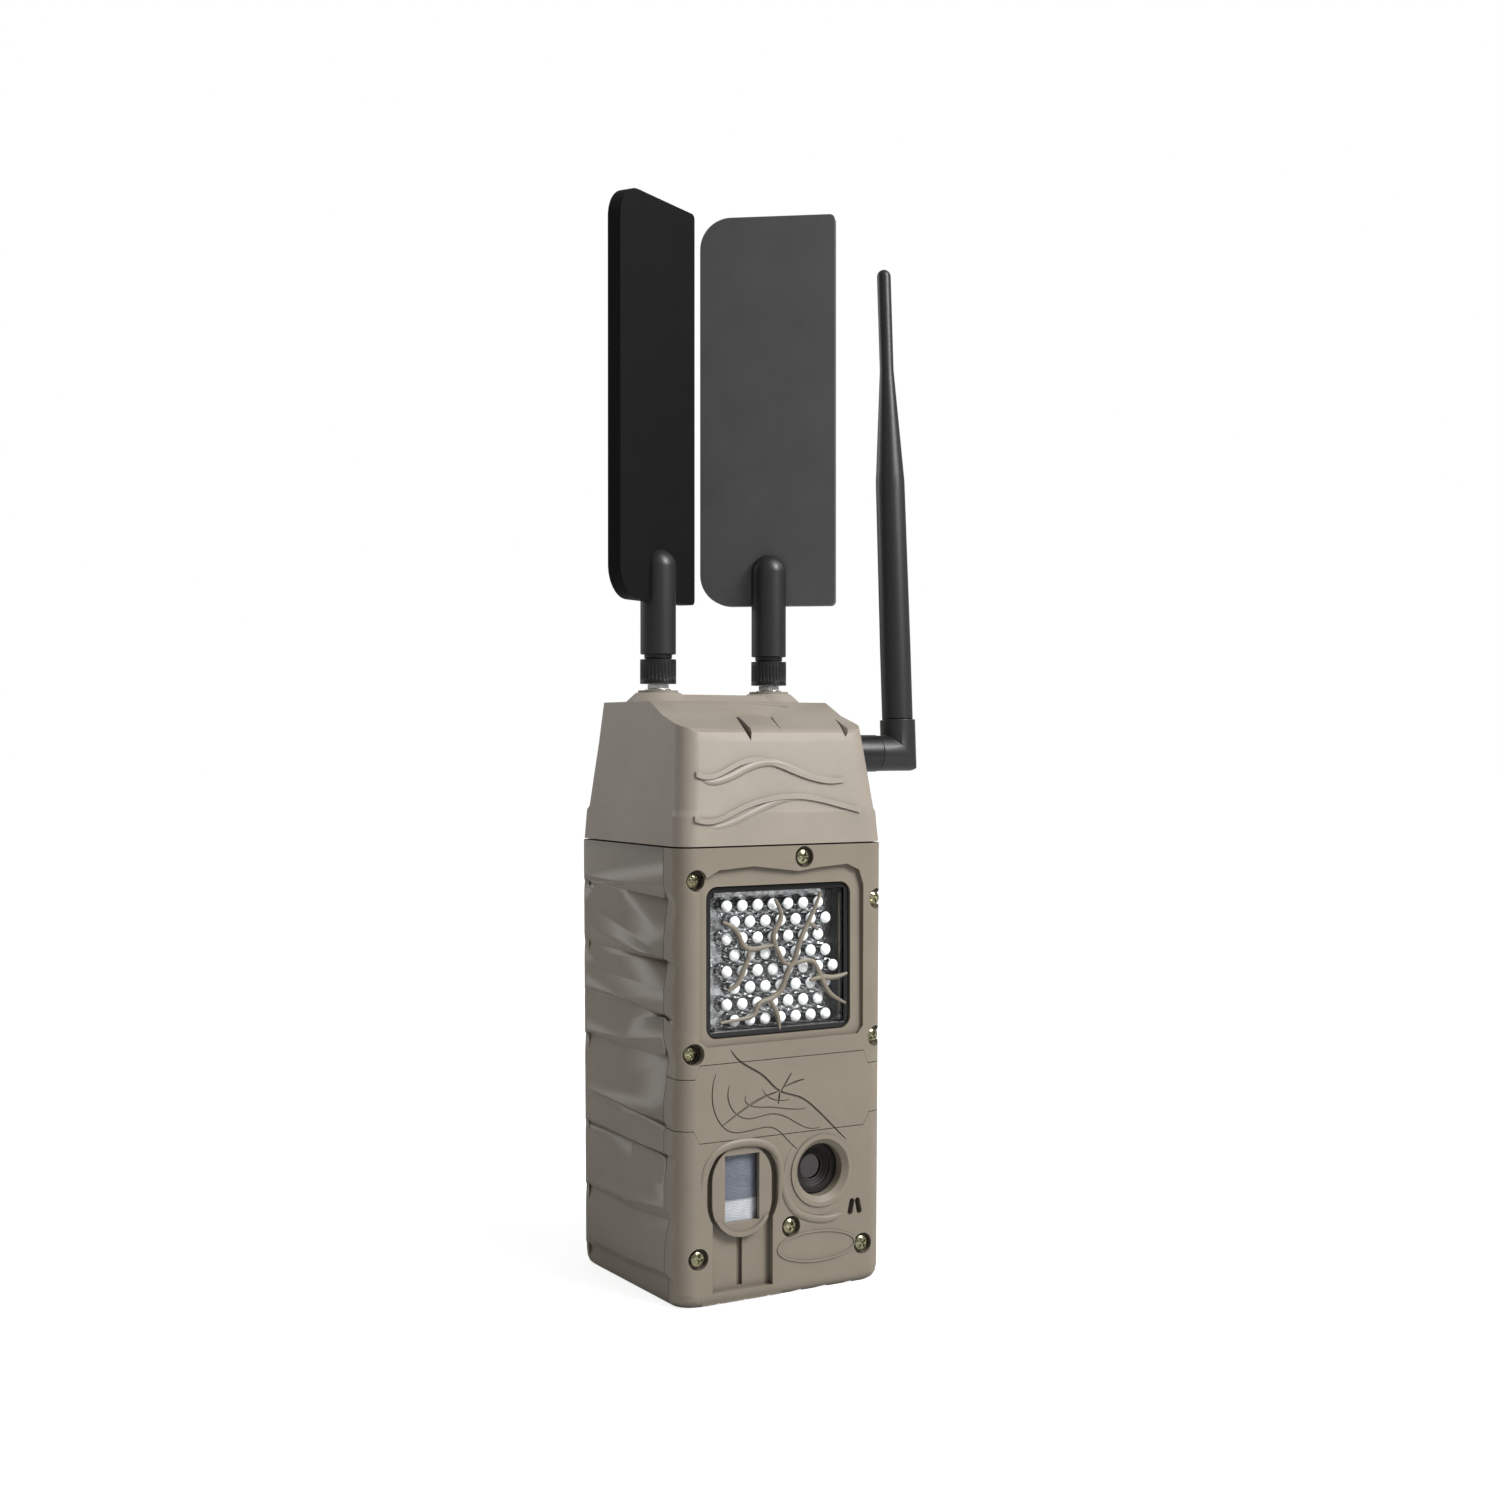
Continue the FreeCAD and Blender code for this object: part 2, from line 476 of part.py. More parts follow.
def flash_parts():
    (x0, x1), (z0, z1) = WINDOW_X, WINDOW_Z
    y = FRONT_Y + WINDOW_SINK
    frame = pane((x0 + 0.2, x1 - 0.2), (z0 + 0.2, z1 - 0.2), 4.3, y - 0.6, FRONT_Y + 5.8)
    frame = frame.cut(box((x0 + 2.4, x1 - 2.4), (y - 2, FRONT_Y + 9), (z0 + 2.4, z1 - 2.4)))
    frame = frame.cut(pane((x0 + 1.2, x1 - 1.2), (z0 + 1.2, z1 - 1.2), 3.3, y - 0.1, y + 1.3))
    export("window_gasket", frame)
    export("flash_window", pane((x0 + 1.3, x1 - 1.3), (z0 + 1.3, z1 - 1.3), 3.2, y, y + 1.2))
    places = led_places()
    export("flash_leds", *[led(x, z) for x, z in places])
    plate = box((x0 + 2.2, x1 - 2.2), (FRONT_Y + 11.1, FRONT_Y + 12.3), (z0 + 2.2, z1 - 2.2))
    holes = Part.makeCompound([cone(3.05, 2.6, 1.2, (x, FRONT_Y + 11.1, z), (0, 1, 0)) for x, z in places])
    export("reflector_plate", plate.cut(holes))
    housing = pane((x0 - 0.5, x1 + 0.5), (z0 - 0.5, z1 + 0.5), 3.4, FRONT_Y + 7.6, FRONT_Y + 13.2)
    hollow = box((x0 + 2.2, x1 - 2.2), (FRONT_Y, FRONT_Y + 20), (z0 + 2.2, z1 - 2.2))
    export("lamp_housing", housing.cut(hollow))
    export("led_board", box((x0 - 0.5, x1 + 0.5), (FRONT_Y + 13.35, FRONT_Y + 14.9), (z0 - 0.5, z1 + 0.5)))


# ---------------------------------------------------------------- the case behind the covers
def rear_case():
    z1 = SEAM_Z - GAP
    shell = body_form(0, 0, z1).cut(body_form(WALL, WALL, z1 - 2.6))
    for side in (-1, 1):
        shell = shell.cut(side_cutter(side))
    shell = shell.common(foot_form()).common(box((-60, 60), (SPLIT_Y + GAP / 2, 60), (-5, 190)))
    shell = shell.cut(box((-14, 14), (-22, -8), (150, 190)))
    # the doorway in the back, with a ledge round it for the seal
    half, (z0, ztop) = DOOR_HALF_W + 0.5, DOOR_Z
    ledge = box((-half - 7.0, half + 7.0), (BACK_Y - 7.2, BACK_Y - 2), (z0 - 5.2, ztop + 2.4))
    shell = shell.fuse(ledge.common(body_form(0.6, 1, z1)))
    shell = shell.cut(box((-half, half), (BACK_Y - 4.8, BACK_Y + 9), (z0 - 0.5, ztop + 0.5)))
    shell = shell.cut(box((-half + 1.8, half - 1.8), (BACK_Y - 12, BACK_Y + 9), (z0 + 1.5, ztop - 1.5)))
    solids = [shell]
    for z in HINGE_KNUCKLES:
        solids += knuckle(z, z + 8.0, True) + knuckle(z + 22.4, z + 30.4, True)
    case = fuse(*solids)
    for z in HINGE_KNUCKLES:
        case = case.cut(cyl(PIN_R + RUNNING, 31.4, (HINGE_X, HINGE_Y, z - 0.5)))
    for x, z in UPPER_SCREWS + LOWER_SCREWS:
        if abs(x) > 36:
            y = screw_seat_y(x, z)
            near, wall = sorted((x, WIDTH / 2 if x > 0 else -WIDTH / 2))
            y0, y1 = SPLIT_Y + GAP / 2, SPLIT_Y + GAP / 2 + POST_LENGTH
            rib = box((near, wall), (y0, y1), (z - POST_RIB / 2, z + POST_RIB / 2))
            post = fuse(cyl(POST_R, POST_LENGTH, (x, y0, z), (0, 1, 0)), rib).common(body_form(0.8, 0, z1))
            bore = cyl(SCREW_SHANK_R + RUNNING, y + 15 - SPLIT_Y, (x, SPLIT_Y - 1, z), (0, 1, 0))
            case = case.fuse(post).cut(bore)
    case = case.fuse(cyl(7.0, SOCKET_LENGTH + 0.6, (0, 0, 0.5)))
    case = case.cut(cyl(SOCKET_R, SOCKET_LENGTH + 0.1, (0, 0, -0.1)))
    return case.removeSplitter()


HINGE_KNUCKLES = (20.0, 118.0)


def knuckle(z0, z1, on_case):
    """A hinge eye round the pin, tied to the case's edge or to the door."""
    eye = cyl(KNUCKLE_R, z1 - z0, (HINGE_X, HINGE_Y, z0))
    if on_case:
        web = box((HINGE_X - KNUCKLE_R + 0.6, HINGE_X + 2.4), (BACK_Y - 3.2, HINGE_Y), (z0, z1))
    else:
        web = box((HINGE_X - 7.0, HINGE_X), (BACK_Y + 0.5, HINGE_Y + 0.4), (z0, z1))
    return [eye, web]


def battery_door():
    """The back door: a plate in the doorway, a raised rim for its seal and two hinge eyes."""
    half, (z0, z1) = DOOR_HALF_W, DOOR_Z
    plate = box((-half, half), (BACK_Y - 3.6, BACK_Y + 0.6), (z0, z1))
    rim = box((-half + 3.4, half - 3.4), (BACK_Y - 6.4, BACK_Y - 3), (z0 + 3.4, z1 - 3.4))
    rim = rim.cut(box((-half + 5.2, half - 5.2), (BACK_Y - 9, BACK_Y - 3.6), (z0 + 5.2, z1 - 5.2)))
    solids = [plate, rim]
    for z in HINGE_KNUCKLES:
        solids += knuckle(z + 8.4, z + 22.0, False)
    panels = [box((-29, 29), (BACK_Y + 0.1, BACK_Y + 3), (a, a + 20.5)) for a in (18, 42.5, 67, 91.5, 116)]
    door = fuse(*solids).cut(fuse(*panels))
    for z in HINGE_KNUCKLES:
        door = door.cut(cyl(PIN_R + RUNNING, 32, (HINGE_X, HINGE_Y, z - 0.5)))
    finger = box((-half - 1, -half + 3.6), (BACK_Y - 0.6, BACK_Y + 3), (78, 92))
    return door.cut(finger).removeSplitter()


def door_parts():
    half, (z0, z1) = DOOR_HALF_W, DOOR_Z
    export("battery_door", battery_door())
    seal = box((-half + 1.0, half - 1.0), (BACK_Y - 4.7, BACK_Y - 3.65), (z0 + 1.0, z1 - 1.0))
    seal = seal.cut(box((-half + 3.2, half - 3.2), (BACK_Y - 9, BACK_Y), (z0 + 3.2, z1 - 3.2)))
    export("door_seal", seal)
    export("hinge_pins", *[cyl(PIN_R, 30.6, (HINGE_X, HINGE_Y, z - 0.1)) for z in HINGE_KNUCKLES])
    clip = box((-34.6, -22.0), (BACK_Y + 0.7, BACK_Y + 2.5), (108, 112.6))
    clip = fuse(clip, box((-37.8, -34.0), (BACK_Y + 0.7, BACK_Y + 2.0), (107, 113.6)))
    clip = fuse(clip, box((-37.8, -36.6), (BACK_Y + 0.7, BACK_Y + 2.9), (107, 113.6)))
    export("door_clip", clip)
    socket = cyl(SOCKET_R, SOCKET_LENGTH - 0.1, (0, 0, 0))
    export("tripod_socket", socket.cut(cyl(THREAD_R, THREAD_LENGTH, (0, 0, 0))))


# ---------------------------------------------------------------- cap
TOP_SLOPE = [(-60.0, 197.0), (-37.8, 207.6), (-34.5, 210.4), (-19.0, 215.2), (-8.0, CAP_TOP_Z + 0.2)]
TORN_PATCH = [(-14.9, -14.4), (-12.0, -23.4), (-5.0, -18.2), (1.7, -18.1), (5.1, -21.5), (11.2, -16.7),
              (20.4, -11.3),
              (9.1, -9.6), (0.6, -10.2)]
# V notches over the front edge. Each: left, right and tip (x, x, x, z) at the front, the same
# further back, its end y.
NOTCHES = [
    ((-18.6, -11.4, -12.6, 204.6), (-11.5, -5.5, -8.0, 213.6), -19.0),
    ((-3.2, 3.4, 0.4, 208.8), (5.0, 9.6, 7.0, 213.8), -18.5),
    ((24.0, 36.5, 28.9, 205.8), (33.6, 36.4, 34.2, 213.2), -23.0),
]


def cap_form(inset):
    """The cap's outside, brought in by inset: a skirt, a shoulder and a top that slopes to the front."""
    levels = [(SEAM_Z + GAP, 44.6, 42.4, 42.4), (178.5, 43.8, 41.6, 41.9), (180.0, 43.1, 41.3, 41.0),
              (CAP_SHOULDER_Z, 40.5, 37.4, 37.8), (CAP_TOP_Z, 39.1, 34.0, 36.2)]
    wires = []
    for z, half_x, front, back in levels:
        top = z - (inset if z == CAP_TOP_Z else 0)
        wires.append(rounded(half_x - inset, -front + inset, back - inset, top, CORNER_R + 0.5))
    form = Part.makeLoft(wires, True, True)
    slope = [(y, z - inset) for y, z in TOP_SLOPE] + [(TOP_SLOPE[-1][0], 260), (-60, 260)]
    return form.cut(prism([(-60, y, z) for y, z in slope], (120, 0, 0)))


def wave(points, half, y0, y1):
    return spline_prism([(x, z - half) for x, z in points], [(x, z + half) for x, z in points], y0, y1)


UPPER_WAVE = [(-36.5, 193.4), (-30.0, 192.6), (-20.0, 196.6), (-9.0, 198.6), (2.0, 195.4), (14.0, 191.4),
              (27.0, 191.0)]
LOWER_WAVE = [(-38.5, 177.4), (-31.0, 176.4), (-20.0, 180.4), (-6.0, 184.2), (8.0, 184.8), (20.0, 182.6),
              (33.0, 179.4)]


def top_cap():
    shell = cap_form(0)
    ridges = fuse(wave(UPPER_WAVE, 0.95, -60, -20), wave(LOWER_WAVE, 0.95, -60, -20))
    proud = shell.copy()
    proud.translate(V(0, -0.8, 0))
    shell = shell.fuse(ridges.common(proud))
    lowered = cap_form(0)
    lowered.translate(V(0, 0, -0.7))
    shell = shell.cut(prism([(x, y, 205) for x, y in TORN_PATCH], (0, 0, 30)).cut(lowered))
    for front, rear, y in NOTCHES:
        ends = []
        for (left, right, tip, z), at in ((front, -39.5), (rear, y)):
            corners = [V(left, at, z + 8), V(right, at, z + 8), V(tip, at, z)]
            ends.append(Part.makePolygon(corners + corners[:1]))
        shell = shell.cut(Part.makeLoft(ends, True, True))
    for side in (-1, 1):
        shell = shell.fuse(cyl(BOSS_R, BOSS_TOP_Z - 212, (side * MAST_X, MAST_Y, 212)))
        mound = cone(MOUND_R, BOSS_R + 0.8, BOSS_TOP_Z - 0.9 - MOUND_LOW_Z,
                     (side * MAST_X, MAST_Y, MOUND_LOW_Z))
        shell = shell.fuse(mound.common(box((-37.2, 37.2), (-60, 60), (200, 260))))
    saddle = [(MAST_Y - 13, MOUND_LOW_Z), (MAST_Y - 7, SADDLE_Z), (MAST_Y + 7, SADDLE_Z),
              (MAST_Y + 13, MOUND_LOW_Z)]
    shell = shell.fuse(prism([(-MAST_X, y, z) for y, z in saddle], (2 * MAST_X, 0, 0)))
    shell = shell.fuse(cyl(9.0, 8, (SIDE_WALL_X - 6.2, WHIP_Y, WHIP_Z), (1, 0, 0)))
    shell = shell.cut(cap_form(WALL))
    for side in (-1, 1):
        shell = shell.cut(cyl(3.3, 40, (side * MAST_X, MAST_Y, 200)))
    return shell.cut(cyl(3.3, 30, (25, WHIP_Y, WHIP_Z), (1, 0, 0))).removeSplitter()


EAR_X, EAR_Z = (23.0, 27.5), (170.0, 204.0)
EAR_BACK_Y, EAR_SLOT_Y = 50.6, (42.6, 47.6)


def strap_ears(cap):
    """Two eyes on the cap's back, for a strap round a tree."""
    ear = box(EAR_X, (36.0, EAR_BACK_Y), EAR_Z)
    ear = ear.cut(box((EAR_X[0] - 1, EAR_X[1] + 1), EAR_SLOT_Y, (EAR_Z[0] + 4, EAR_Z[1] - 4)))
    ear = ear.cut(cap).cut(cap_form(WALL - 1))
    return [ear, ear.mirror(V(0, 0, 0), V(1, 0, 0))]


def cap_seal():
    outer = Part.Face(rounded(40.6, -40.2, 40.2, SEAM_Z - GAP, 5.0)).extrude(V(0, 0, 2 * GAP))
    return outer.cut(Part.Face(rounded(38.6, -38.2, 38.2, SEAM_Z - GAP, 4.0)).extrude(V(0, 0, 2 * GAP)))


# ---------------------------------------------------------------- antennas
SIDE_FACE_X = SIDE_WALL_X + 1.8
JACKS = [((-MAST_X, MAST_Y, BOSS_TOP_Z), (0, 0, 1)), ((MAST_X, MAST_Y, BOSS_TOP_Z), (0, 0, 1)),
         ((SIDE_FACE_X, WHIP_Y, WHIP_Z), (1, 0, 0))]


def on_jack(jack, forward):
    (x, y, z), (dx, dy, dz) = jack
    return (x + dx * forward, y + dy * forward, z + dz * forward)


def jack_parts():
    """Each panel jack: a threaded barrel through the wall, a washer and a thin hex nut outside."""
    bodies, washers, nuts = [], [], []
    for jack in JACKS:
        along = jack[1]
        barrel = cyl(3.15, 18.0, on_jack(jack, -9.0), along)
        flange = hexagon(8.0, 2.0, on_jack(jack, -11.0), along)
        bodies.append(fuse(barrel, flange).cut(cyl(1.0, 6, on_jack(jack, 4.0), along)))
        washers.append(ring(4.9, 3.2, 0.5, on_jack(jack, 0.05), along))
        nuts.append(hexagon(8.0, 1.7, on_jack(jack, 0.6), along).cut(cyl(3.2, 4, on_jack(jack, 0), along)))
    export("antenna_jacks", *bodies)
    export("jack_washers", *washers)
    export("jack_nuts", *nuts)


def coupling_nut(jack, low, length, radius, flutes=30):
    """A collar that turns on the jack's thread, knurled where it has flutes."""
    along = jack[1]
    nut = cyl(radius, length, on_jack(jack, low), along)
    grooves = []
    for k in range(flutes):
        a = 2 * math.pi * k / flutes
        p, q = (radius + 0.15) * math.cos(a), (radius + 0.15) * math.sin(a)
        at = on_jack(jack, low + 1.6)
        at = (at[0] + p, at[1] + q, at[2]) if along[2] else (at[0], at[1] + p, at[2] + q)
        grooves.append(cyl(0.42, length - 3.2, at, along))
    if grooves:
        nut = nut.cut(Part.makeCompound(grooves))
    foot = on_jack(jack, low - 0.1)
    return nut.cut(cyl(3.3, 7.0, foot, along)).cut(cyl(2.4, length + 1, foot, along))


def paddle(side, yaw):
    """The mast with its domed head, and the flat blade that it carries."""
    x = side * MAST_X
    mast = cyl(MAST_R, MAST_TOP_Z - MAST_R - MAST_LOW_Z, (0, 0, MAST_LOW_Z))
    dome = Part.makeSphere(MAST_R, V(0, 0, MAST_TOP_Z - MAST_R))
    neck = cyl(5.4, MAST_LOW_Z - NUT_TOP_Z - 0.2, (0, 0, NUT_TOP_Z + 0.3))
    spigot = cyl(2.3, 3.4, (0, 0, NUT_TOP_Z - 2.4))
    mast = fuse(mast, dome, neck, spigot)
    y0, y1 = -BLADE_FRONT, -BLADE_BACK
    z0, z1 = BLADE_LOW_Z, BLADE_TOP_Z
    big, small = 12.5, 2.0
    blade = box((-BLADE_FAR, BLADE_NEAR), (y0, y1), (z0, z1))
    uprights = [e for e in blade.Edges if abs(e.Vertexes[0].Y - e.Vertexes[1].Y) > 1]
    blade = blade.makeFillet(big, [e for e in uprights if e.Vertexes[0].X < 0])
    uprights = [e for e in blade.Edges if e.Vertexes[0].X > BLADE_NEAR - 0.1 and e.Length < y1 - y0 + 0.1
                and abs(e.Vertexes[0].Y - e.Vertexes[1].Y) > 1]
    blade = blade.makeFillet(small, uprights)
    crown = Part.makeSphere(MAST_R, V(0, 0, MAST_TOP_Z - MAST_R))
    blade = blade.cut(crown.fuse(cyl(MAST_R, MAST_TOP_Z - MAST_R - z0 + 5, (0, 0, z0 - 5))))
    for shape in (mast, blade):
        shape.rotate(V(0, 0, 0), V(0, 0, 1), yaw)
        shape.translate(V(x, MAST_Y, 0))
    return mast, blade


def whip_parts():
    """The side whip: a coupling nut, a mitred elbow and the tapering rod."""
    export("whip_nut", coupling_nut(JACKS[2], 2.6, 13.4, 7.3, 0))
    r = ELBOW_R
    start = SIDE_FACE_X + 16.3
    level = cyl(r, WHIP_X + 3 * r - start, (start, WHIP_Y, WHIP_Z), (1, 0, 0))
    upright = cyl(r, 13.4 + 3 * r, (WHIP_X, WHIP_Y, WHIP_Z - 3 * r))
    corner = prism([(WHIP_X - 40, WHIP_Y - 9, WHIP_Z + 40), (WHIP_X + 40, WHIP_Y - 9, WHIP_Z - 40),
                    (WHIP_X - 40, WHIP_Y - 9, WHIP_Z - 40)], (0, 18, 0))
    elbow = fuse(level.common(corner), upright.cut(corner))
    chamfer = 1.6
    c = (WHIP_X + r, WHIP_Z - r)
    elbow = elbow.cut(prism([(c[0] + 1, WHIP_Y - 9, c[1] - 1), (c[0] + 1, WHIP_Y - 9, c[1] + chamfer + 1),
                             (c[0] - chamfer - 1, WHIP_Y - 9, c[1] - 1)], (0, 18, 0)))
    spigot = cyl(2.3, 6.0, (start - 4.5, WHIP_Y, WHIP_Z), (1, 0, 0))
    elbow = fuse(elbow, spigot)
    rod = fuse(cyl(4.0, 8.2, (0, 0, 8.4)), cyl(6.15, 30.0, (0, 0, 13.6)), cone(6.15, 5.8, 66.0, (0, 0, 43.6)),
               cone(5.8, 2.8, 45.4, (0, 0, 109.6)), cyl(2.8, WHIP_TOP - 157.8, (0, 0, 155.0)),
               Part.makeSphere(2.8, V(0, 0, WHIP_TOP - 2.8)))
    rod.translate(V(WHIP_X, WHIP_Y, WHIP_Z))
    elbow = elbow.cut(cyl(4.05, 10.0, (WHIP_X, WHIP_Y, WHIP_Z + 8.3)))
    for node, shape in (("whip_elbow", elbow), ("whip_rod", rod)):
        export(node, turned(shape, -WHIP_LEAN, (WHIP_X, WHIP_Y, WHIP_Z), (1, 0, 0)))


# ---------------------------------------------------------------- inside the case
PANEL_Y = 31.0          # face of the control panel above the cells
BUTTONS_X = (-20.0, -8.0, 4.0)
BUTTON_R = 2.6
CONTROL_Z = 141.6


def inside_parts():
    export("main_board", box((-35, 35), (-6.0, -4.4), (14, 160)))
    tray = box((-36, 36), (-2.6, 3.0), (12.5, 138.0)).cut(
        fuse(*[cyl(CELL_R + 0.5, 126, (x, CELL_Y, 12)) for x in (-17.6, 17.6)]))
    top = TRAY_Z + 127.4
    for z in (TRAY_Z, top):
        tray = tray.fuse(box((-34.2, 34.2), (-2.6, 34.0), (z, z + 2.4)))
    ends = [box((s * 33.4 - 0.8, s * 33.4 + 0.8), (-2.6, 4), (TRAY_Z, top)) for s in (-1, 1)]
    tray = fuse(tray, *ends, box((-34.2, 34.2), (-2.6, -0.6), (TRAY_Z, top + 2.4)))
    export("battery_tray", tray)
    cells = []
    for x in (-17.6, 17.6):
        for z in (TRAY_Z + 3.7, TRAY_Z + 65.3):
            can = cyl(CELL_R - 0.1, CELL_LENGTH - 2.4, (x, CELL_Y, z))
            cells.append(fuse(can, cyl(4.7, 1.8, (x, CELL_Y, z + CELL_LENGTH - 2.6))))
    export("battery_cells", *cells)
    leaf = [(-6, 2.45), (6, 2.45), (6, 2.85), (1.5, 2.85), (-3.6, 3.65), (-6, 3.65)]
    export("cell_contacts", *[front_prism([(x + a, TRAY_Z + z) for a, z in leaf], CELL_Y - 4, CELL_Y + 4)
                              for x in (-17.6, 17.6)],
           *[box((x - 6, x + 6), (CELL_Y - 6, CELL_Y + 6), (top - 0.6, top - 0.05)) for x in (-17.6, 17.6)])
    panel = box((-33.6, 33.6), (PANEL_Y, PANEL_Y + 1.6), (139.2, 158.8))
    panel = panel.cut(box((10.5, 30.5), (PANEL_Y - 1, PANEL_Y + 3), (143.6, 155.4)))
    for x in BUTTONS_X:
        panel = panel.cut(cyl(BUTTON_R + 0.35, 4, (x, PANEL_Y - 1, CONTROL_Z + 3), (0, 1, 0)))
    panel = panel.cut(box((-31.6, -27.6), (PANEL_Y - 1, PANEL_Y + 3), (139.5, 157)))
    for x in (-24.4, 8.0, 32.0):
        panel = panel.fuse(cyl(1.6, PANEL_Y + 4.45, (x, -4.35, 152.6), (0, 1, 0)))
    export("control_panel", panel.cut(box((-25.9, -22.9), (-30, -4.35), (140, 160))))
    export("display", box((10.9, 30.1), (PANEL_Y - 1.6, PANEL_Y + 0.9), (144.0, 155.0)))
    export("control_board", box((-25.9, 31.5), (PANEL_Y - 4.6, PANEL_Y - 3.4), (139.0, 151.0)))
    names = ("mode_button", "more_button", "up_button")
    for name, x in zip(names, BUTTONS_X):
        cap = cyl(BUTTON_R, 3.2, (x, PANEL_Y - 0.6, CONTROL_Z + 3), (0, 1, 0))
        flange = cyl(BUTTON_R + 0.9, 0.7, (x, PANEL_Y - 1.0, CONTROL_Z + 3), (0, 1, 0))
        export(name, fuse(cap, flange))
    socket = box((-32.6, -26.6), (4.0, PANEL_Y - 1.2), (139.4, 158.4)).cut(
        box((-30.8, -28.4), (5.0, PANEL_Y + 1), (140.2, 156.6)))
    export("card_socket", socket)
    export("memory_card", box((-30.65, -28.55), (6.0, PANEL_Y + 2.0), (140.4, 156.4)))


def cap_electronics():
    export("modem_board", box((-20, 20), (-20, 30), (171.0, 172.6)),
           box((-12, 12), (-10, 18), (172.65, 175.4)))
    board = box((27.0, 28.6), (-30, 8), (176, 196))
    export("link_radio_board", board, box((24.4, 26.95), (-24, -4), (180, 193)))


# ---------------------------------------------------------------- write every piece
def main():
    shell = front_shell()
    export("rear_case", rear_case())
    export("upper_bezel", upper_bezel(shell))
    export("mid_cover", mid_cover(shell))
    export("lower_bezel", lower_bezel(shell))
    cap = top_cap()
    export("top_cap", cap)
    export("strap_ears", *strap_ears(cap))
    export("cap_seal", cap_seal())
    export("upper_screws", *[screw(x, z) for x, z in UPPER_SCREWS])
    export("lower_screws", *[screw(x, z) for x, z in LOWER_SCREWS])
    flash_parts()
    export("zone_slider", zone_slider())
    sensor_parts()
    door_parts()
    jack_parts()
    for name, side, yaw in (("left", -1, LEFT_YAW), ("right", 1, RIGHT_YAW)):
        jack = JACKS[0 if side < 0 else 1]
        export(f"{name}_nut", coupling_nut(jack, NUT_LOW_Z - BOSS_TOP_Z, NUT_TOP_Z - NUT_LOW_Z, 7.0))
        mast, blade = paddle(side, yaw)
        export(f"{name}_mast", mast)
        export(f"{name}_blade", blade)
    whip_parts()
    inside_parts()
    cap_electronics()


main()
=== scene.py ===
# %% [markdown]
# # A trail camera in Blender
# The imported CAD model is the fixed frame: one object per moulding, in metres, with the front looking
# along -Y. Everything added here sits in that same frame, so sizes are read from it and never fitted.

# %% Load the frame
import bpy, bmesh
import json, math
from mathutils import Matrix, Vector


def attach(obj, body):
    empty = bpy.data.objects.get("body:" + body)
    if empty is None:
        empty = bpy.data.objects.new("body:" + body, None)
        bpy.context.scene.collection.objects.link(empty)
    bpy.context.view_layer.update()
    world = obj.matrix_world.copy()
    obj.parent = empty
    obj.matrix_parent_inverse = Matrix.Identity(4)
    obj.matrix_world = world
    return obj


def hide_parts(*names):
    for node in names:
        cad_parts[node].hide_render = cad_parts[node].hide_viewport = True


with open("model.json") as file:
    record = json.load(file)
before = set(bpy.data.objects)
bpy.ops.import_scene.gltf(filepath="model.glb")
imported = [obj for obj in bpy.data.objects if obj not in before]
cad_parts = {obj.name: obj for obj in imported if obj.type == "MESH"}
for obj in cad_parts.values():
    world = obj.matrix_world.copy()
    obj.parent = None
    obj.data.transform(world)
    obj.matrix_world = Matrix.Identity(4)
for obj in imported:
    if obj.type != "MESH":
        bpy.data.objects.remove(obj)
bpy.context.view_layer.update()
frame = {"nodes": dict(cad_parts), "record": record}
nodes = frame["nodes"]
MM = 0.001

# %% [markdown]
# ## The camera
# A tall object looks natural from its middle height, a little to one side, with a lens longer than
# normal so that its upright edges stay nearly parallel. A camera object could be aimed with a Track To
# constraint; a matrix made from the view direction gives the same result and can't drift.

# %% Place the camera
EYE = Vector((-0.3750, -0.6513, 0.2063))
LOOK = Vector((0.5083, 0.8612, -0.0058))
LENS_MM, SENSOR_MM = 46.37, 36.0

camera_data = bpy.data.cameras.new("view_camera")
camera_data.lens, camera_data.sensor_width = LENS_MM, SENSOR_MM
camera_data.dof.use_dof = False
camera = bpy.data.objects.new("view_camera", camera_data)
camera.matrix_world = Matrix.Translation(EYE) @ LOOK.to_track_quat("-Z", "Y").to_matrix().to_4x4()
bpy.context.scene.collection.objects.link(camera)
bpy.context.scene.camera = camera
print("camera stands", round(EYE.length, 3), "m from the socket under the body")

# %% [markdown]
# ## The studio
# The look of a product sheet: the front is lit from high on its right by one soft lamp, so its left
# side falls into shade. A pale world fills the shadows at less than half of what it shows to the
# camera. The floor glows a little to the camera, so that it meets the backdrop without a horizon.

# %% Light and floor
WORLD_SHOWN, WORLD_FILL = 1.0, 0.31
FLOOR_ALBEDO, FLOOR_GLOW = 0.60, 0.74


def soft_lamp(name, kind, at, aim, size, power):
    """An area lamp or a soft sun that looks at a point."""
    data = bpy.data.lights.new(name, kind)
    data.energy = power
    if kind == "SUN":
        data.angle = size
    else:
        data.size = size
    lamp = bpy.data.objects.new(name, data)
    turn = (Vector(aim) - Vector(at)).to_track_quat("-Z", "Y").to_matrix().to_4x4()
    lamp.matrix_world = Matrix.Translation(at) @ turn
    bpy.context.scene.collection.objects.link(lamp)
    return lamp


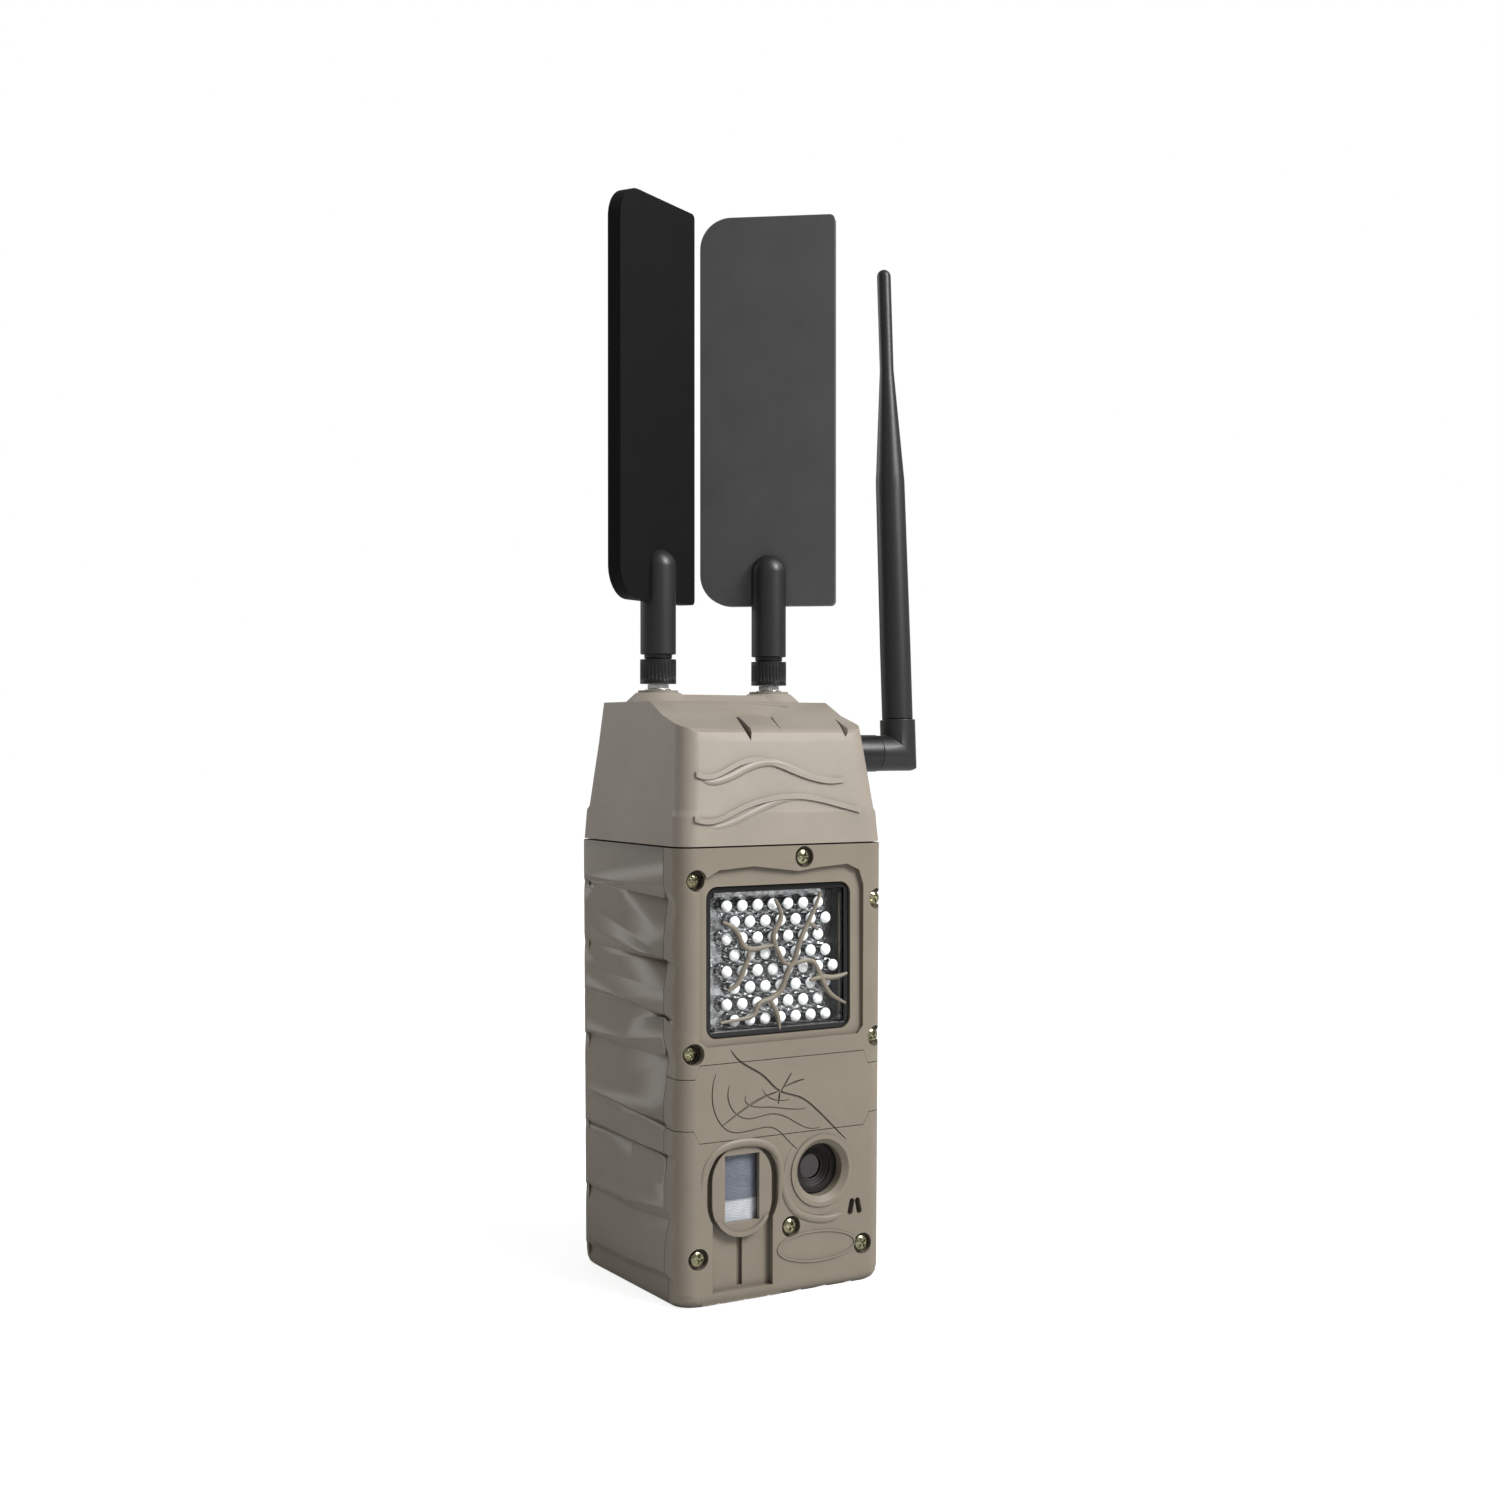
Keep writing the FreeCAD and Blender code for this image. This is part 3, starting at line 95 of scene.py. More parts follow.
world = bpy.data.worlds.new("pale_studio")
world.use_nodes = True
backdrop = world.node_tree.nodes["Background"]
backdrop.inputs["Color"].default_value = (1.0, 1.0, 1.0, 1.0)
seen = world.node_tree.nodes.new("ShaderNodeLightPath").outputs["Is Camera Ray"]
level = world.node_tree.nodes.new("ShaderNodeMapRange")
level.inputs["To Min"].default_value, level.inputs["To Max"].default_value = WORLD_FILL, WORLD_SHOWN
world.node_tree.links.new(seen, level.inputs["Value"])
world.node_tree.links.new(level.outputs["Result"], backdrop.inputs["Strength"])
bpy.context.scene.world = world
bpy.context.scene.view_settings.view_transform = "Standard"

soft_lamp("key_lamp", "AREA", (0.45, -0.80, 0.85), (0, 0, 0.25), 0.45, 12.0)
soft_lamp("sky_sun", "SUN", (0.35, -0.60, 0.80), (0, 0, 0), math.radians(35), 1.1)
soft_lamp("rim_lamp", "AREA", (-0.5, 0.9, 0.7), (0, 0, 0.2), 0.6, 3.0)

floor_mesh = bmesh.new()
bmesh.ops.create_grid(floor_mesh, x_segments=1, y_segments=1, size=8.0)
floor_data = bpy.data.meshes.new("floor")
floor_mesh.to_mesh(floor_data)
floor_mesh.free()
floor = bpy.data.objects.new("floor", floor_data)
bpy.context.scene.collection.objects.link(floor)
floor_paint = bpy.data.materials.new("floor_paint")
floor_paint.use_nodes = True
floor_shader = floor_paint.node_tree.nodes["Principled BSDF"]
floor_shader.inputs["Base Color"].default_value = (FLOOR_ALBEDO, FLOOR_ALBEDO, FLOOR_ALBEDO, 1.0)
floor_shader.inputs["Roughness"].default_value = 0.9
floor_shader.inputs["Emission Color"].default_value = (1.0, 1.0, 1.0, 1.0)
shown = floor_paint.node_tree.nodes.new("ShaderNodeLightPath").outputs["Is Camera Ray"]
glow = floor_paint.node_tree.nodes.new("ShaderNodeMapRange")
glow.inputs["To Max"].default_value = FLOOR_GLOW
floor_paint.node_tree.links.new(shown, glow.inputs["Value"])
floor_paint.node_tree.links.new(glow.outputs["Result"], floor_shader.inputs["Emission Strength"])
floor_data.materials.append(floor_paint)

# %% [markdown]
# ## Materials: a small set of helpers
# Every finish starts from one Principled shader. Its even values are set on its own sockets. What
# varies over the surface comes from noise on Object coordinates, which are metres here, so a scale of
# 1000 gives features about a millimetre across.

# %% Node helpers
def finish_base(name, **values):
    """A material with one Principled shader, and its even values set by socket name."""
    material = bpy.data.materials.new(name)
    material.use_nodes = True
    shader = material.node_tree.nodes["Principled BSDF"]
    for socket, value in values.items():
        shader.inputs[socket.replace("_", " ")].default_value = value
    return material, shader


def node(material, kind, links=(), **settings):
    """A node with its settings, and links given as (its input, another node's output)."""
    made = material.node_tree.nodes.new(kind)
    for key, value in settings.items():
        setattr(made, key, value)
    for target, source in links:
        if isinstance(source, (int, float, tuple)):
            made.inputs[target].default_value = source
        else:
            material.node_tree.links.new(source, made.inputs[target])
    return made


def place(material):
    """Where a point is on the piece, in metres."""
    return node(material, "ShaderNodeTexCoord").outputs["Object"]


def noise(material, scale, detail=3.0, roughness=0.5, where=None):
    links = [("Vector", where or place(material)), ("Scale", scale), ("Detail", detail),
             ("Roughness", roughness)]
    return node(material, "ShaderNodeTexNoise", links).outputs["Fac"]


def ramp(material, source, stops):
    """A colour ramp from (position, colour) stops."""
    made = node(material, "ShaderNodeValToRGB", [("Fac", source)])
    elements = made.color_ramp.elements
    while len(elements) < len(stops):
        elements.new(0.5)
    for element, (position, colour) in zip(elements, stops):
        element.position = position
        element.color = (*colour, 1.0)
    return made.outputs["Color"]


def spread(material, source, low, high):
    """Stretch a 0 to 1 source to a range."""
    made = node(material, "ShaderNodeMapRange", [("Value", source), ("To Min", low), ("To Max", high)])
    return made.outputs["Result"]


def tint(material, factor, first, second):
    """Mix two colours by a factor."""
    made = node(material, "ShaderNodeMix", data_type="RGBA")
    for index, source in ((0, factor), (6, first), (7, second)):
        if isinstance(source, (tuple, float)):
            made.inputs[index].default_value = (*source, 1.0) if isinstance(source, tuple) else source
        else:
            material.node_tree.links.new(source, made.inputs[index])
    return made.outputs[2]


def bump(material, height, distance, strength=1.0, under=None):
    links = [("Height", height), ("Distance", distance), ("Strength", strength)]
    if under:
        links.append(("Normal", under))
    return node(material, "ShaderNodeBump", links).outputs["Normal"]


def connect(material, shader, **sources):
    for socket, source in sources.items():
        material.node_tree.links.new(source, shader.inputs[socket.replace("_", " ")])


def shade(colour, factor):
    return tuple(c * factor for c in colour)


print("node helpers ready")

# %% [markdown]
# ## Moulded taupe plastic
# The case is a spark-eroded moulding: an even, very fine grain that kills the shine, over a broad and
# barely visible unevenness of tone. Fine noise gives the grain as bump and as roughness, and slow noise
# shifts the colour by a few percent. An occlusion term paints shade into the colour: it darkens grooves
# and inner corners, where shade falls. Handled edges go slightly paler; a Bevel node finds them by
# comparing a softened normal with the true one.

# %% Moulded plastic
GRAIN_SCALE, MOTTLE_SCALE = 2600.0, 55.0
# Painted shade: how far the darkening in grooves reaches, and how dark it gets.
PAINTED_SHADE_REACH, PAINTED_CREVICE_SHADE, EDGE_REACH = 0.003, 0.42, 0.0007


def edge_mask(material, radius):
    """0 on flat faces, rising towards 1 on convex edges."""
    soft = node(material, "ShaderNodeBevel", [("Radius", radius)], samples=4).outputs["Normal"]
    true = node(material, "ShaderNodeNewGeometry").outputs["Normal"]
    facing = node(material, "ShaderNodeVectorMath", [(0, soft), (1, true)],
                  operation="DOT_PRODUCT").outputs["Value"]
    return node(material, "ShaderNodeMapRange", [("Value", facing), ("From Min", 0.995),
                                                 ("From Max", 0.80)]).outputs["Result"]


def painted_shade_mask(material):
    """Painted shade: 1 in the open, falling towards 0 in grooves and inner corners a few millimetres across."""
    return node(material, "ShaderNodeAmbientOcclusion", [("Distance", PAINTED_SHADE_REACH)], samples=6).outputs["AO"]


def moulded(name, colour, roughness, grain=0.00002, worn=1.12, contrast=0.05, ior=1.48):
    material, shader = finish_base(name, IOR=ior)
    mottle = noise(material, MOTTLE_SCALE, 4.0, 0.6)
    tone = ramp(material, mottle, [(0.3, shade(colour, 1 - contrast)), (0.7, shade(colour, 1 + contrast))])
    pale = tint(material, edge_mask(material, EDGE_REACH), tone, shade(colour, worn))
    # Painted shade: the colour darkens in grooves and inner corners.
    pale = tint(material, painted_shade_mask(material), shade(colour, PAINTED_CREVICE_SHADE), pale)
    fine = noise(material, GRAIN_SCALE, 2.0, 0.6)
    connect(material, shader, Base_Color=pale, Roughness=spread(material, fine, roughness - 0.07,
                                                            roughness + 0.07),
            Normal=bump(material, fine, grain))
    return material


case_taupe = moulded("case_taupe", (0.226, 0.194, 0.150), 0.46)
# Painted light: the cap is the case's plastic, made paler for the top light that its leaning front catches.
cap_taupe_painted_light = moulded("cap_taupe_painted_light", (0.300, 0.262, 0.218), 0.44)
branch_taupe = moulded("branch_taupe", (0.215, 0.186, 0.142), 0.42, contrast=0.12)
window_gloss = moulded("window_gloss", (0.006, 0.006, 0.006), 0.16, grain=0.000004, worn=3.0, contrast=0.10)
antenna_satin = moulded("antenna_satin", (0.017, 0.017, 0.018), 0.38, grain=0.000012, worn=2.2,
                        contrast=0.10)
# The blades are one black plastic: the right blade's paler copy is painted light, the left blade's darker copy
# is painted shade.
blade_painted_light = moulded("blade_painted_light", (0.068, 0.068, 0.070), 0.42, grain=0.00001, worn=1.6, contrast=0.08)
blade_painted_shade = moulded("blade_painted_shade", (0.006, 0.006, 0.006), 0.58, ior=1.2, grain=0.00001, worn=1.8,
                     contrast=0.08)
nut_black = moulded("nut_black", (0.010, 0.010, 0.010), 0.34, grain=0.00001, worn=3.0, contrast=0.10)
inner_black = moulded("inner_black", (0.012, 0.012, 0.013), 0.55, worn=1.8, contrast=0.10)
card_black = moulded("card_black", (0.020, 0.021, 0.024), 0.40, worn=1.6)
print("moulded plastics:", [m.name for m in bpy.data.materials])

# %% [markdown]
# ## Rubber, glass and film
# The seals are dull rubber. The lamp window is clear sheet: it mirrors a little and lets lamps through,
# so rays that only look for light pass it freely, by the Light Path node, and the lamps behind it stay
# bright. The lens is dark coated glass.

# %% Rubber and clear sheet
def rubber(name, colour):
    material, shader = finish_base(name, IOR=1.5)
    dust = noise(material, 900.0, 5.0, 0.7)
    connect(material, shader, Base_Color=ramp(material, dust,
                                              [(0.35, shade(colour, 0.8)), (0.75, shade(colour, 1.5))]),
            Roughness=spread(material, dust, 0.6, 0.85), Normal=bump(material, dust, 0.00002))
    return material


def clear(name, colour, roughness, ior=1.49, smear=0.02):
    """Glass for the eye and for reflections, nothing for shadow rays."""
    material, shader = finish_base(name, Base_Color=(*colour, 1.0), IOR=ior)
    shader.inputs["Transmission Weight"].default_value = 1.0
    wipe = noise(material, 120.0, 5.0, 0.65)
    connect(material, shader, Roughness=spread(material, wipe, roughness, roughness + smear))
    path = node(material, "ShaderNodeLightPath").outputs["Is Shadow Ray"]
    gap = node(material, "ShaderNodeBsdfTransparent", [("Color", (*colour, 1.0))])
    mix = node(material, "ShaderNodeMixShader", [(0, path), (1, shader.outputs["BSDF"]),
                                                 (2, gap.outputs["BSDF"])])
    surface = material.node_tree.nodes["Material Output"].inputs["Surface"]
    material.node_tree.links.new(mix.outputs["Shader"], surface)
    return material


seal_rubber = rubber("seal_rubber", (0.014, 0.014, 0.014))
button_rubber = rubber("button_rubber", (0.16, 0.165, 0.17))
window_clear = clear("window_clear", (0.97, 0.98, 0.98), 0.0, ior=1.25, smear=0.01)
dark_lens, dark_shader = finish_base("dark_lens", Roughness=0.04, IOR=1.6)
dark_shader.inputs["Coat Weight"].default_value = 1.0
dark_shader.inputs["Coat Tint"].default_value = (0.85, 0.80, 0.76, 1.0)
iris = noise(dark_lens, 300.0, 2.0, 0.5)
connect(dark_lens, dark_shader, Base_Color=ramp(dark_lens, iris,
                                                [(0.3, (0.004, 0.003, 0.005)), (0.7, (0.012, 0.008, 0.010))]))
print("rubber and glass ready")

# %% [markdown]
# ## Metals
# Screws are steel with a yellow passivated coat, whose tone drifts between straw and olive. Nuts and
# washers are nickel. Both carry fine turning marks, which are noise squeezed along one axis.

# %% Metals
def metal(name, low, high, roughness, marks=(2400.0, 2400.0, 200.0), depth=0.000006):
    material, shader = finish_base(name, Metallic=1.0)
    stretched = node(material, "ShaderNodeMapping",
                     [("Vector", place(material)), ("Scale", marks)]).outputs["Vector"]
    brushed = noise(material, 1.0, 3.0, 0.6, where=stretched)
    drift = noise(material, 420.0, 3.0, 0.6)
    connect(material, shader, Base_Color=ramp(material, drift, [(0.3, low), (0.7, high)]),
            Roughness=spread(material, brushed, roughness - 0.06, roughness + 0.10),
            Normal=bump(material, brushed, depth))
    return material


screw_straw = metal("screw_straw", (0.20, 0.19, 0.11), (0.56, 0.53, 0.36), 0.20)
nickel = metal("nickel", (0.62, 0.61, 0.58), (0.80, 0.79, 0.76), 0.20)
brass = metal("brass", (0.60, 0.44, 0.18), (0.80, 0.62, 0.30), 0.26)
plated_can = metal("plated_can", (0.50, 0.50, 0.50), (0.66, 0.66, 0.66), 0.25)
# Painted reflections: the reflector's chrome colour runs in patches from dark grey to near white.
plated_painted_reflections = metal("plated_painted_reflections", (0.30, 0.30, 0.31), (0.92, 0.93, 0.94), 0.14,
                       marks=(700.0, 700.0, 700.0), depth=0.0002)
print("metals ready")

# %% [markdown]
# ## Boards, cells and the display
# Inside parts are seen only with the door open. A board is green solder mask with copper tracks under
# it: a Brick pattern in two scales reads as tracks and pads. A cell has a printed steel jacket, here
# plain, with a paler band by its button end.

# %% Inside finishes
def board_finish(name):
    material, shader = finish_base(name, Roughness=0.28, IOR=1.5)
    turned_out = node(material, "ShaderNodeMapping",
                      [("Vector", place(material)), ("Rotation", (math.radians(90), 0, 0))])
    track = node(material, "ShaderNodeTexBrick", [("Vector", turned_out.outputs["Vector"]),
                                                  ("Scale", 260.0),
                 ("Color1", (0.010, 0.075, 0.030, 1)), ("Color2", (0.006, 0.045, 0.020, 1)), ("Mortar",
                                                            (0.02, 0.13, 0.05, 1)),
                 ("Mortar Size", 0.03), ("Brick Width", 0.9), ("Row Height", 0.22)])
    connect(material, shader, Base_Color=track.outputs["Color"],
            Normal=bump(material, track.outputs["Fac"], 0.00004))
    return material


board_green = board_finish("board_green")
CELL_LENGTH = 0.0616
cell_jacket, jacket_shader = finish_base("cell_jacket", Metallic=0.6)
height = node(cell_jacket, "ShaderNodeSeparateXYZ", [("Vector", place(cell_jacket))]).outputs["Z"]
band = node(cell_jacket, "ShaderNodeMath", [(0, height), (1, CELL_LENGTH)], operation="MODULO").outputs["Value"]
step = node(cell_jacket, "ShaderNodeMapRange", [("Value", band), ("From Min", 0.0),
                                                ("From Max", CELL_LENGTH)]).outputs["Result"]
scuff = noise(cell_jacket, 500.0, 4.0, 0.6)
connect(cell_jacket, jacket_shader, Roughness=spread(cell_jacket, scuff, 0.22, 0.4),
        Base_Color=ramp(cell_jacket, step, [(0.10, (0.05, 0.05, 0.055)), (0.12, (0.62, 0.36, 0.14)),
                                          (0.22, (0.05, 0.05, 0.055))]))
display_glass, display_shader = finish_base("display_glass", IOR=1.5)
matrix = node(display_glass, "ShaderNodeTexChecker", [("Vector", place(display_glass)), ("Scale", 3000.0),
              ("Color1", (0.20, 0.24, 0.17, 1)), ("Color2", (0.23, 0.27, 0.19, 1))])
connect(display_glass, display_shader, Base_Color=matrix.outputs["Color"],
        Roughness=spread(display_glass, noise(display_glass, 90.0), 0.05, 0.15))
print("materials so far:", len(bpy.data.materials))

# %% [markdown]
# ## Finishing the CAD mouldings
# A CAD node's mesh is loose triangles with knife-sharp edges, and real mouldings never have those. Its
# mesh is left alone, and modifiers finish it: Weld joins the triangles, planar Decimate turns them
# back into whole faces, Bevel rounds every edge, and Weighted Normal keeps broad faces flat to the eye.

# %% Give every CAD node its finish
FINISH = {
    "case_plastic": case_taupe, "cap_plastic": cap_taupe_painted_light,
    "antenna_plastic": antenna_satin, "nut_plastic": nut_black,
    "window_clear": window_clear, "seal_rubber": seal_rubber,
    "led_clear": window_clear, "reflector": plated_painted_reflections,
    "board": board_green, "screw_steel": screw_straw, "fresnel": button_rubber, "dark_lens": dark_lens,
    "black_plastic": inner_black, "sensor_metal": plated_can, "brass": brass, "jack_metal": nickel,
    "cell_jacket": cell_jacket, "display_glass": display_glass,
    "button_rubber": button_rubber, "card_plastic": card_black,
}
for part in frame["record"]["subparts"]:
    slots = nodes[part["node"]].data.materials
    slots.clear()
    slots.append(FINISH[part["material_slot"]])
# Painted light and shade: the left and right blades get darker and paler copies of one black plastic.
for name, finish in (("left_blade", blade_painted_shade), ("right_blade", blade_painted_light),
                     ("window_gasket", window_gloss)):
    nodes[name].data.materials[0] = finish

# %% Round the edges
# A thin frame's face has a hole in it, and as one dissolved face its bevel would close that hole.
KEEP_TRIANGLES = ("window_gasket",)


def soften(name, width, angle=30, segments=2, flatten=0.6):
    """Round a CAD moulding's edges with modifiers; width is in millimetres."""
    piece = nodes[name]
    weld = piece.modifiers.new("weld", "WELD")
    weld.merge_threshold = 0.005 * MM
    if name not in KEEP_TRIANGLES:
        whole = piece.modifiers.new("whole_faces", "DECIMATE")
        whole.decimate_type, whole.angle_limit = "DISSOLVE", math.radians(flatten)
    edge = piece.modifiers.new("round_edges", "BEVEL")
    edge.width, edge.segments, edge.limit_method = width * MM, segments, "ANGLE"
    edge.angle_limit, edge.use_clamp_overlap = math.radians(angle), True
    even = piece.modifiers.new("even_shading", "WEIGHTED_NORMAL")
    even.keep_sharp, even.weight = False, 80
    for face in piece.data.polygons:
        face.use_smooth = True


SOFT_EDGES = {
    "rear_case": 0.6, "upper_bezel": 0.5, "mid_cover": 0.3,
    "lower_bezel": 0.35, "top_cap": 0.7, "zone_slider": 0.3,
    "strap_ears": 0.5, "battery_door": 0.4, "door_clip": 0.3, "upper_screws": 0.12, "lower_screws": 0.12,
    "left_nut": 0.15, "right_nut": 0.15, "whip_nut": 0.15,
    "left_blade": 0.5, "right_blade": 0.5, "left_mast": 0.3,
    "right_mast": 0.3, "whip_elbow": 0.3, "whip_rod": 0.3,
    "jack_nuts": 0.15, "jack_washers": 0.1, "lens_hood": 0.2,
    "battery_tray": 0.3, "control_panel": 0.2, "window_gasket": 0.3, "memory_card": 0.2, "card_socket": 0.1,
}
for name, width in SOFT_EDGES.items():
    soften(name, width)
print("rounded:", len(SOFT_EDGES), "mouldings")

# %% [markdown]
# ## Making pieces
# A new piece starts in a bmesh and ends as an object at the origin, with its place in its mesh. One
# small function does that last step for every piece: it merges doubles, points the faces outward,
# links the object, gives it a finish, and lets it ride on its CAD body.

# %% From bmesh to a riding piece
def piece_from(shape, name, body, slot, *finishes, smooth=True, recalculate=True):
    bmesh.ops.remove_doubles(shape, verts=shape.verts, dist=0.001 * MM)
    if recalculate:
        bmesh.ops.recalc_face_normals(shape, faces=shape.faces)
    data = bpy.data.meshes.new(name)
    shape.to_mesh(data)
    shape.free()
    for finish in finishes:
        data.materials.append(finish)
    for face in data.polygons:
        face.use_smooth = smooth
    piece = bpy.data.objects.new(name, data)
    bpy.context.scene.collection.objects.link(piece)
    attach(piece, body)
    print(name, "faces:", len(data.polygons))
    return piece


def chain(shape, points):
    """Edges through a row of points."""
    verts = [shape.verts.new(p) for p in points]
    edges = [shape.edges.new(pair) for pair in zip(verts, verts[1:])]
    return verts + edges


def turn_profile(shape, points, centre, axis, steps):
    """Spin an open profile right round an axis."""
    geometry = chain(shape, points)
    bmesh.ops.spin(shape, geom=geometry, cent=centre, axis=axis, angle=math.tau, steps=steps,
                   use_merge=True)


FRONT_Y, FACE_TAPER, SEAM_Z = -42.5, 1.2, 167.0


def face_y(z):
    """Where the case's front face stands at a height, in millimetres."""
    return FRONT_Y + FACE_TAPER * (SEAM_Z - z) / SEAM_Z


# %% [markdown]
# ## The lamps
# Behind the window stand rows of 5 mm lamps. Each is a clear epoxy bullet: the dome gathers the light
# of its silvered cup, so it looks white from the front, and the body below shows streaked reflections of
# the cup and the legs. Here the finish is opaque: the dome's white is painted light, and the body's
# streaked look is painted reflection. Spinning one profile makes a lamp, duplicate and translate make
# the rows. An attribute that runs from the tip to the foot tells the finish which part of the lamp a
# point is on.

# %% One lamp, then the rows
LAMP_R, LAMP_FOOT_Y, LAMP_BODY = 2.5, -29.2, 6.1
LAMP_PITCH, LAMP_ROW_PITCH = 6.62, 6.05
LAMP_FIRST_X, LAMP_TOP_Z = -22.2, 144.8
lamp_places = []
for row in range(8):
    first = LAMP_FIRST_X + (LAMP_PITCH / 2 if row % 2 else 0)
    lamp_places += [(first + LAMP_PITCH * k,
                     LAMP_TOP_Z - LAMP_ROW_PITCH * row) for k in range(8 if row == 4 else 7)]

lamps = bmesh.new()
reach = lamps.verts.layers.float.new("reach")
shoulder = LAMP_FOOT_Y - LAMP_BODY
profile = [(LAMP_R * math.sin(math.radians(a)), shoulder - LAMP_R * math.cos(math.radians(a))) for a in (0,
                                                            14, 28, 42, 56, 70, 90)]
profile += [(LAMP_R, shoulder + 2.0), (LAMP_R, LAMP_FOOT_Y - 0.9), (LAMP_R + 0.35, LAMP_FOOT_Y - 0.9),
            (LAMP_R + 0.35, LAMP_FOOT_Y)]
turn_profile(lamps, [(r * MM, y * MM, 0) for r, y in profile], (0, 0, 0), (0, 1, 0), 18)
for vert in lamps.verts:
    vert[reach] = (vert.co.y / MM - (shoulder - LAMP_R)) / (LAMP_BODY + LAMP_R)
first_lamp = lamps.verts[:] + lamps.edges[:] + lamps.faces[:]
for x, z in lamp_places[1:]:
    copied = bmesh.ops.duplicate(lamps, geom=first_lamp)["geom"]
    bmesh.ops.translate(lamps, verts=[g for g in copied if isinstance(g, bmesh.types.BMVert)],
                        vec=(x * MM, 0, z * MM))
x, z = lamp_places[0]
bmesh.ops.translate(lamps, verts=[g for g in first_lamp if isinstance(g, bmesh.types.BMVert)],
                    vec=(x * MM, 0, z * MM))

lamp_glass, lamp_shader = finish_base("lamp_epoxy", IOR=1.5)
lamp_shader.inputs["Coat Weight"].default_value = 1.0
lamp_shader.inputs["Coat Roughness"].default_value = 0.02
along = node(lamp_glass, "ShaderNodeAttribute", attribute_name="reach").outputs["Fac"]
streaky = node(lamp_glass, "ShaderNodeMapping", [("Vector", place(lamp_glass)),
                                                 ("Scale", (1400.0, 260.0, 1400.0))]).outputs["Vector"]
painted_streaks = noise(lamp_glass, 1.0, 3.0, 0.6, where=streaky)
# Painted reflections: the body's dark, grey and white streaks stand in for the cup and legs mirrored in it.
painted_cup_reflection = ramp(lamp_glass, painted_streaks, [(0.36, (0.02, 0.02, 0.022)), (0.47, (0.34, 0.35, 0.36)),
                                    (0.58, (0.92, 0.93, 0.94))])
is_body = node(lamp_glass, "ShaderNodeMapRange", [("Value", along), ("From Min", 0.13),
                                                  ("From Max", 0.19)]).outputs["Result"]
# Painted light: the dome is plain white, for the cup's light gathered in the clear epoxy.
connect(lamp_glass, lamp_shader, Base_Color=tint(lamp_glass, is_body, (0.97, 0.97, 0.97), painted_cup_reflection),
        Metallic=is_body,
        Roughness=spread(lamp_glass, is_body, 0.30, 0.12))
lamp_piece = piece_from(lamps, "flash_lamps", "camera_body", "led_clear", lamp_glass)
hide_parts("flash_leds")

# %% [markdown]
# ## The branch on the window
# A moulded branch, painted like the case, lies on the lamp window and breaks up its outline. Its limbs
# are smooth curves with a round section that thins towards each tip. As separate tubes they would
# cross at the forks, so the curve is made a mesh and a voxel remesh melts the tubes into one skin.

# %% Limbs
LIMBS = [
    [(16.9, 148.6), (14.6, 143.2), (11.6, 138.2), (8.4, 132.4), (6.6, 128.0), (5.5, 123.5), (3.4, 121.6),
     (1.9, 118.6), (0.4, 114.6), (-1.6, 111.8), (-5.6, 109.8), (-9.3, 109.3),
     (-11.0, 107.6), (-11.6, 105.0), (-14.2, 103.7), (-19.0, 103.3), (-26.6, 102.6)],
    [(-3.4, 147.0), (-0.9, 143.4), (-0.3, 139.6), (-2.6, 136.4), (-4.2, 133.2), (-3.4, 129.9),
     (-1.6, 127.0), (-0.6, 124.4), (1.4, 122.5), (3.6, 122.0)],
    [(-25.6, 139.5), (-21.8, 138.0), (-18.7, 134.6), (-17.6, 131.2), (-15.0, 128.8), (-11.0, 128.8),
     (-7.0, 129.6), (-3.6, 129.8)],
    [(-14.6, 128.6), (-14.2, 126.2), (-16.2, 122.6), (-18.1, 118.2), (-20.2, 115.4), (-23.6, 114.0)],
    [(3.6, 122.0), (7.4, 123.0), (11.6, 123.6), (14.6, 122.0), (15.8, 119.0), (17.3, 116.5), (18.6, 113.4),
     (21.0, 110.2), (24.0, 108.2), (28.0, 106.2)],
    [(12.0, 115.9), (14.6, 116.4), (17.4, 116.9), (21.6, 116.2), (25.4, 116.6), (28.8, 117.6)],
    [(11.2, 137.6), (13.2, 136.6), (15.8, 134.6)],
    [(-5.4, 109.9), (-3.9, 107.2), (-1.8, 103.8), (-1.2, 98.4)],
]
LIMB_R, TIP_SHARE, LIMB_Y = 1.05, 0.55, -39.6
WOOD_VOXEL = 0.16


def tubes(name, lines, radius, tip_share, y_at):
    """Tapered round tubes through rows of (x, z), as one mesh."""
    curve = bpy.data.curves.new(name, "CURVE")
    curve.dimensions, curve.bevel_depth, curve.bevel_resolution = "3D", radius * MM, 4
    curve.use_fill_caps, curve.resolution_u = True, 8
    for line in lines:
        spline = curve.splines.new("NURBS")
        spline.points.add(len(line) - 1)
        spline.order_u, spline.use_endpoint_u = 3, True
        for k, (x, z) in enumerate(line):
            share = k / (len(line) - 1)
            spline.points[k].co = (x * MM, y_at(z) * MM, z * MM, 1.0)
            spline.points[k].radius = 1.0 - (1.0 - tip_share) * abs(2 * share - 1) ** 3
    holder = bpy.data.objects.new(name, curve)
    bpy.context.scene.collection.objects.link(holder)
    graph = bpy.context.evaluated_depsgraph_get()
    shape = bmesh.new()
    mesh = bpy.data.meshes.new_from_object(holder.evaluated_get(graph))
    shape.from_mesh(mesh)
    bpy.data.objects.remove(holder)
    bpy.data.meshes.remove(mesh)
    return shape


branch = piece_from(tubes("branch", LIMBS, LIMB_R, TIP_SHARE, lambda z: LIMB_Y), "window_branch",
                    "camera_body", "case_plastic", branch_taupe)
skin = branch.modifiers.new("one_skin", "REMESH")
skin.mode, skin.voxel_size, skin.use_smooth_shade = "VOXEL", WOOD_VOXEL * MM, True
relax = branch.modifiers.new("relax", "SMOOTH")
relax.factor, relax.iterations = 0.6, 6

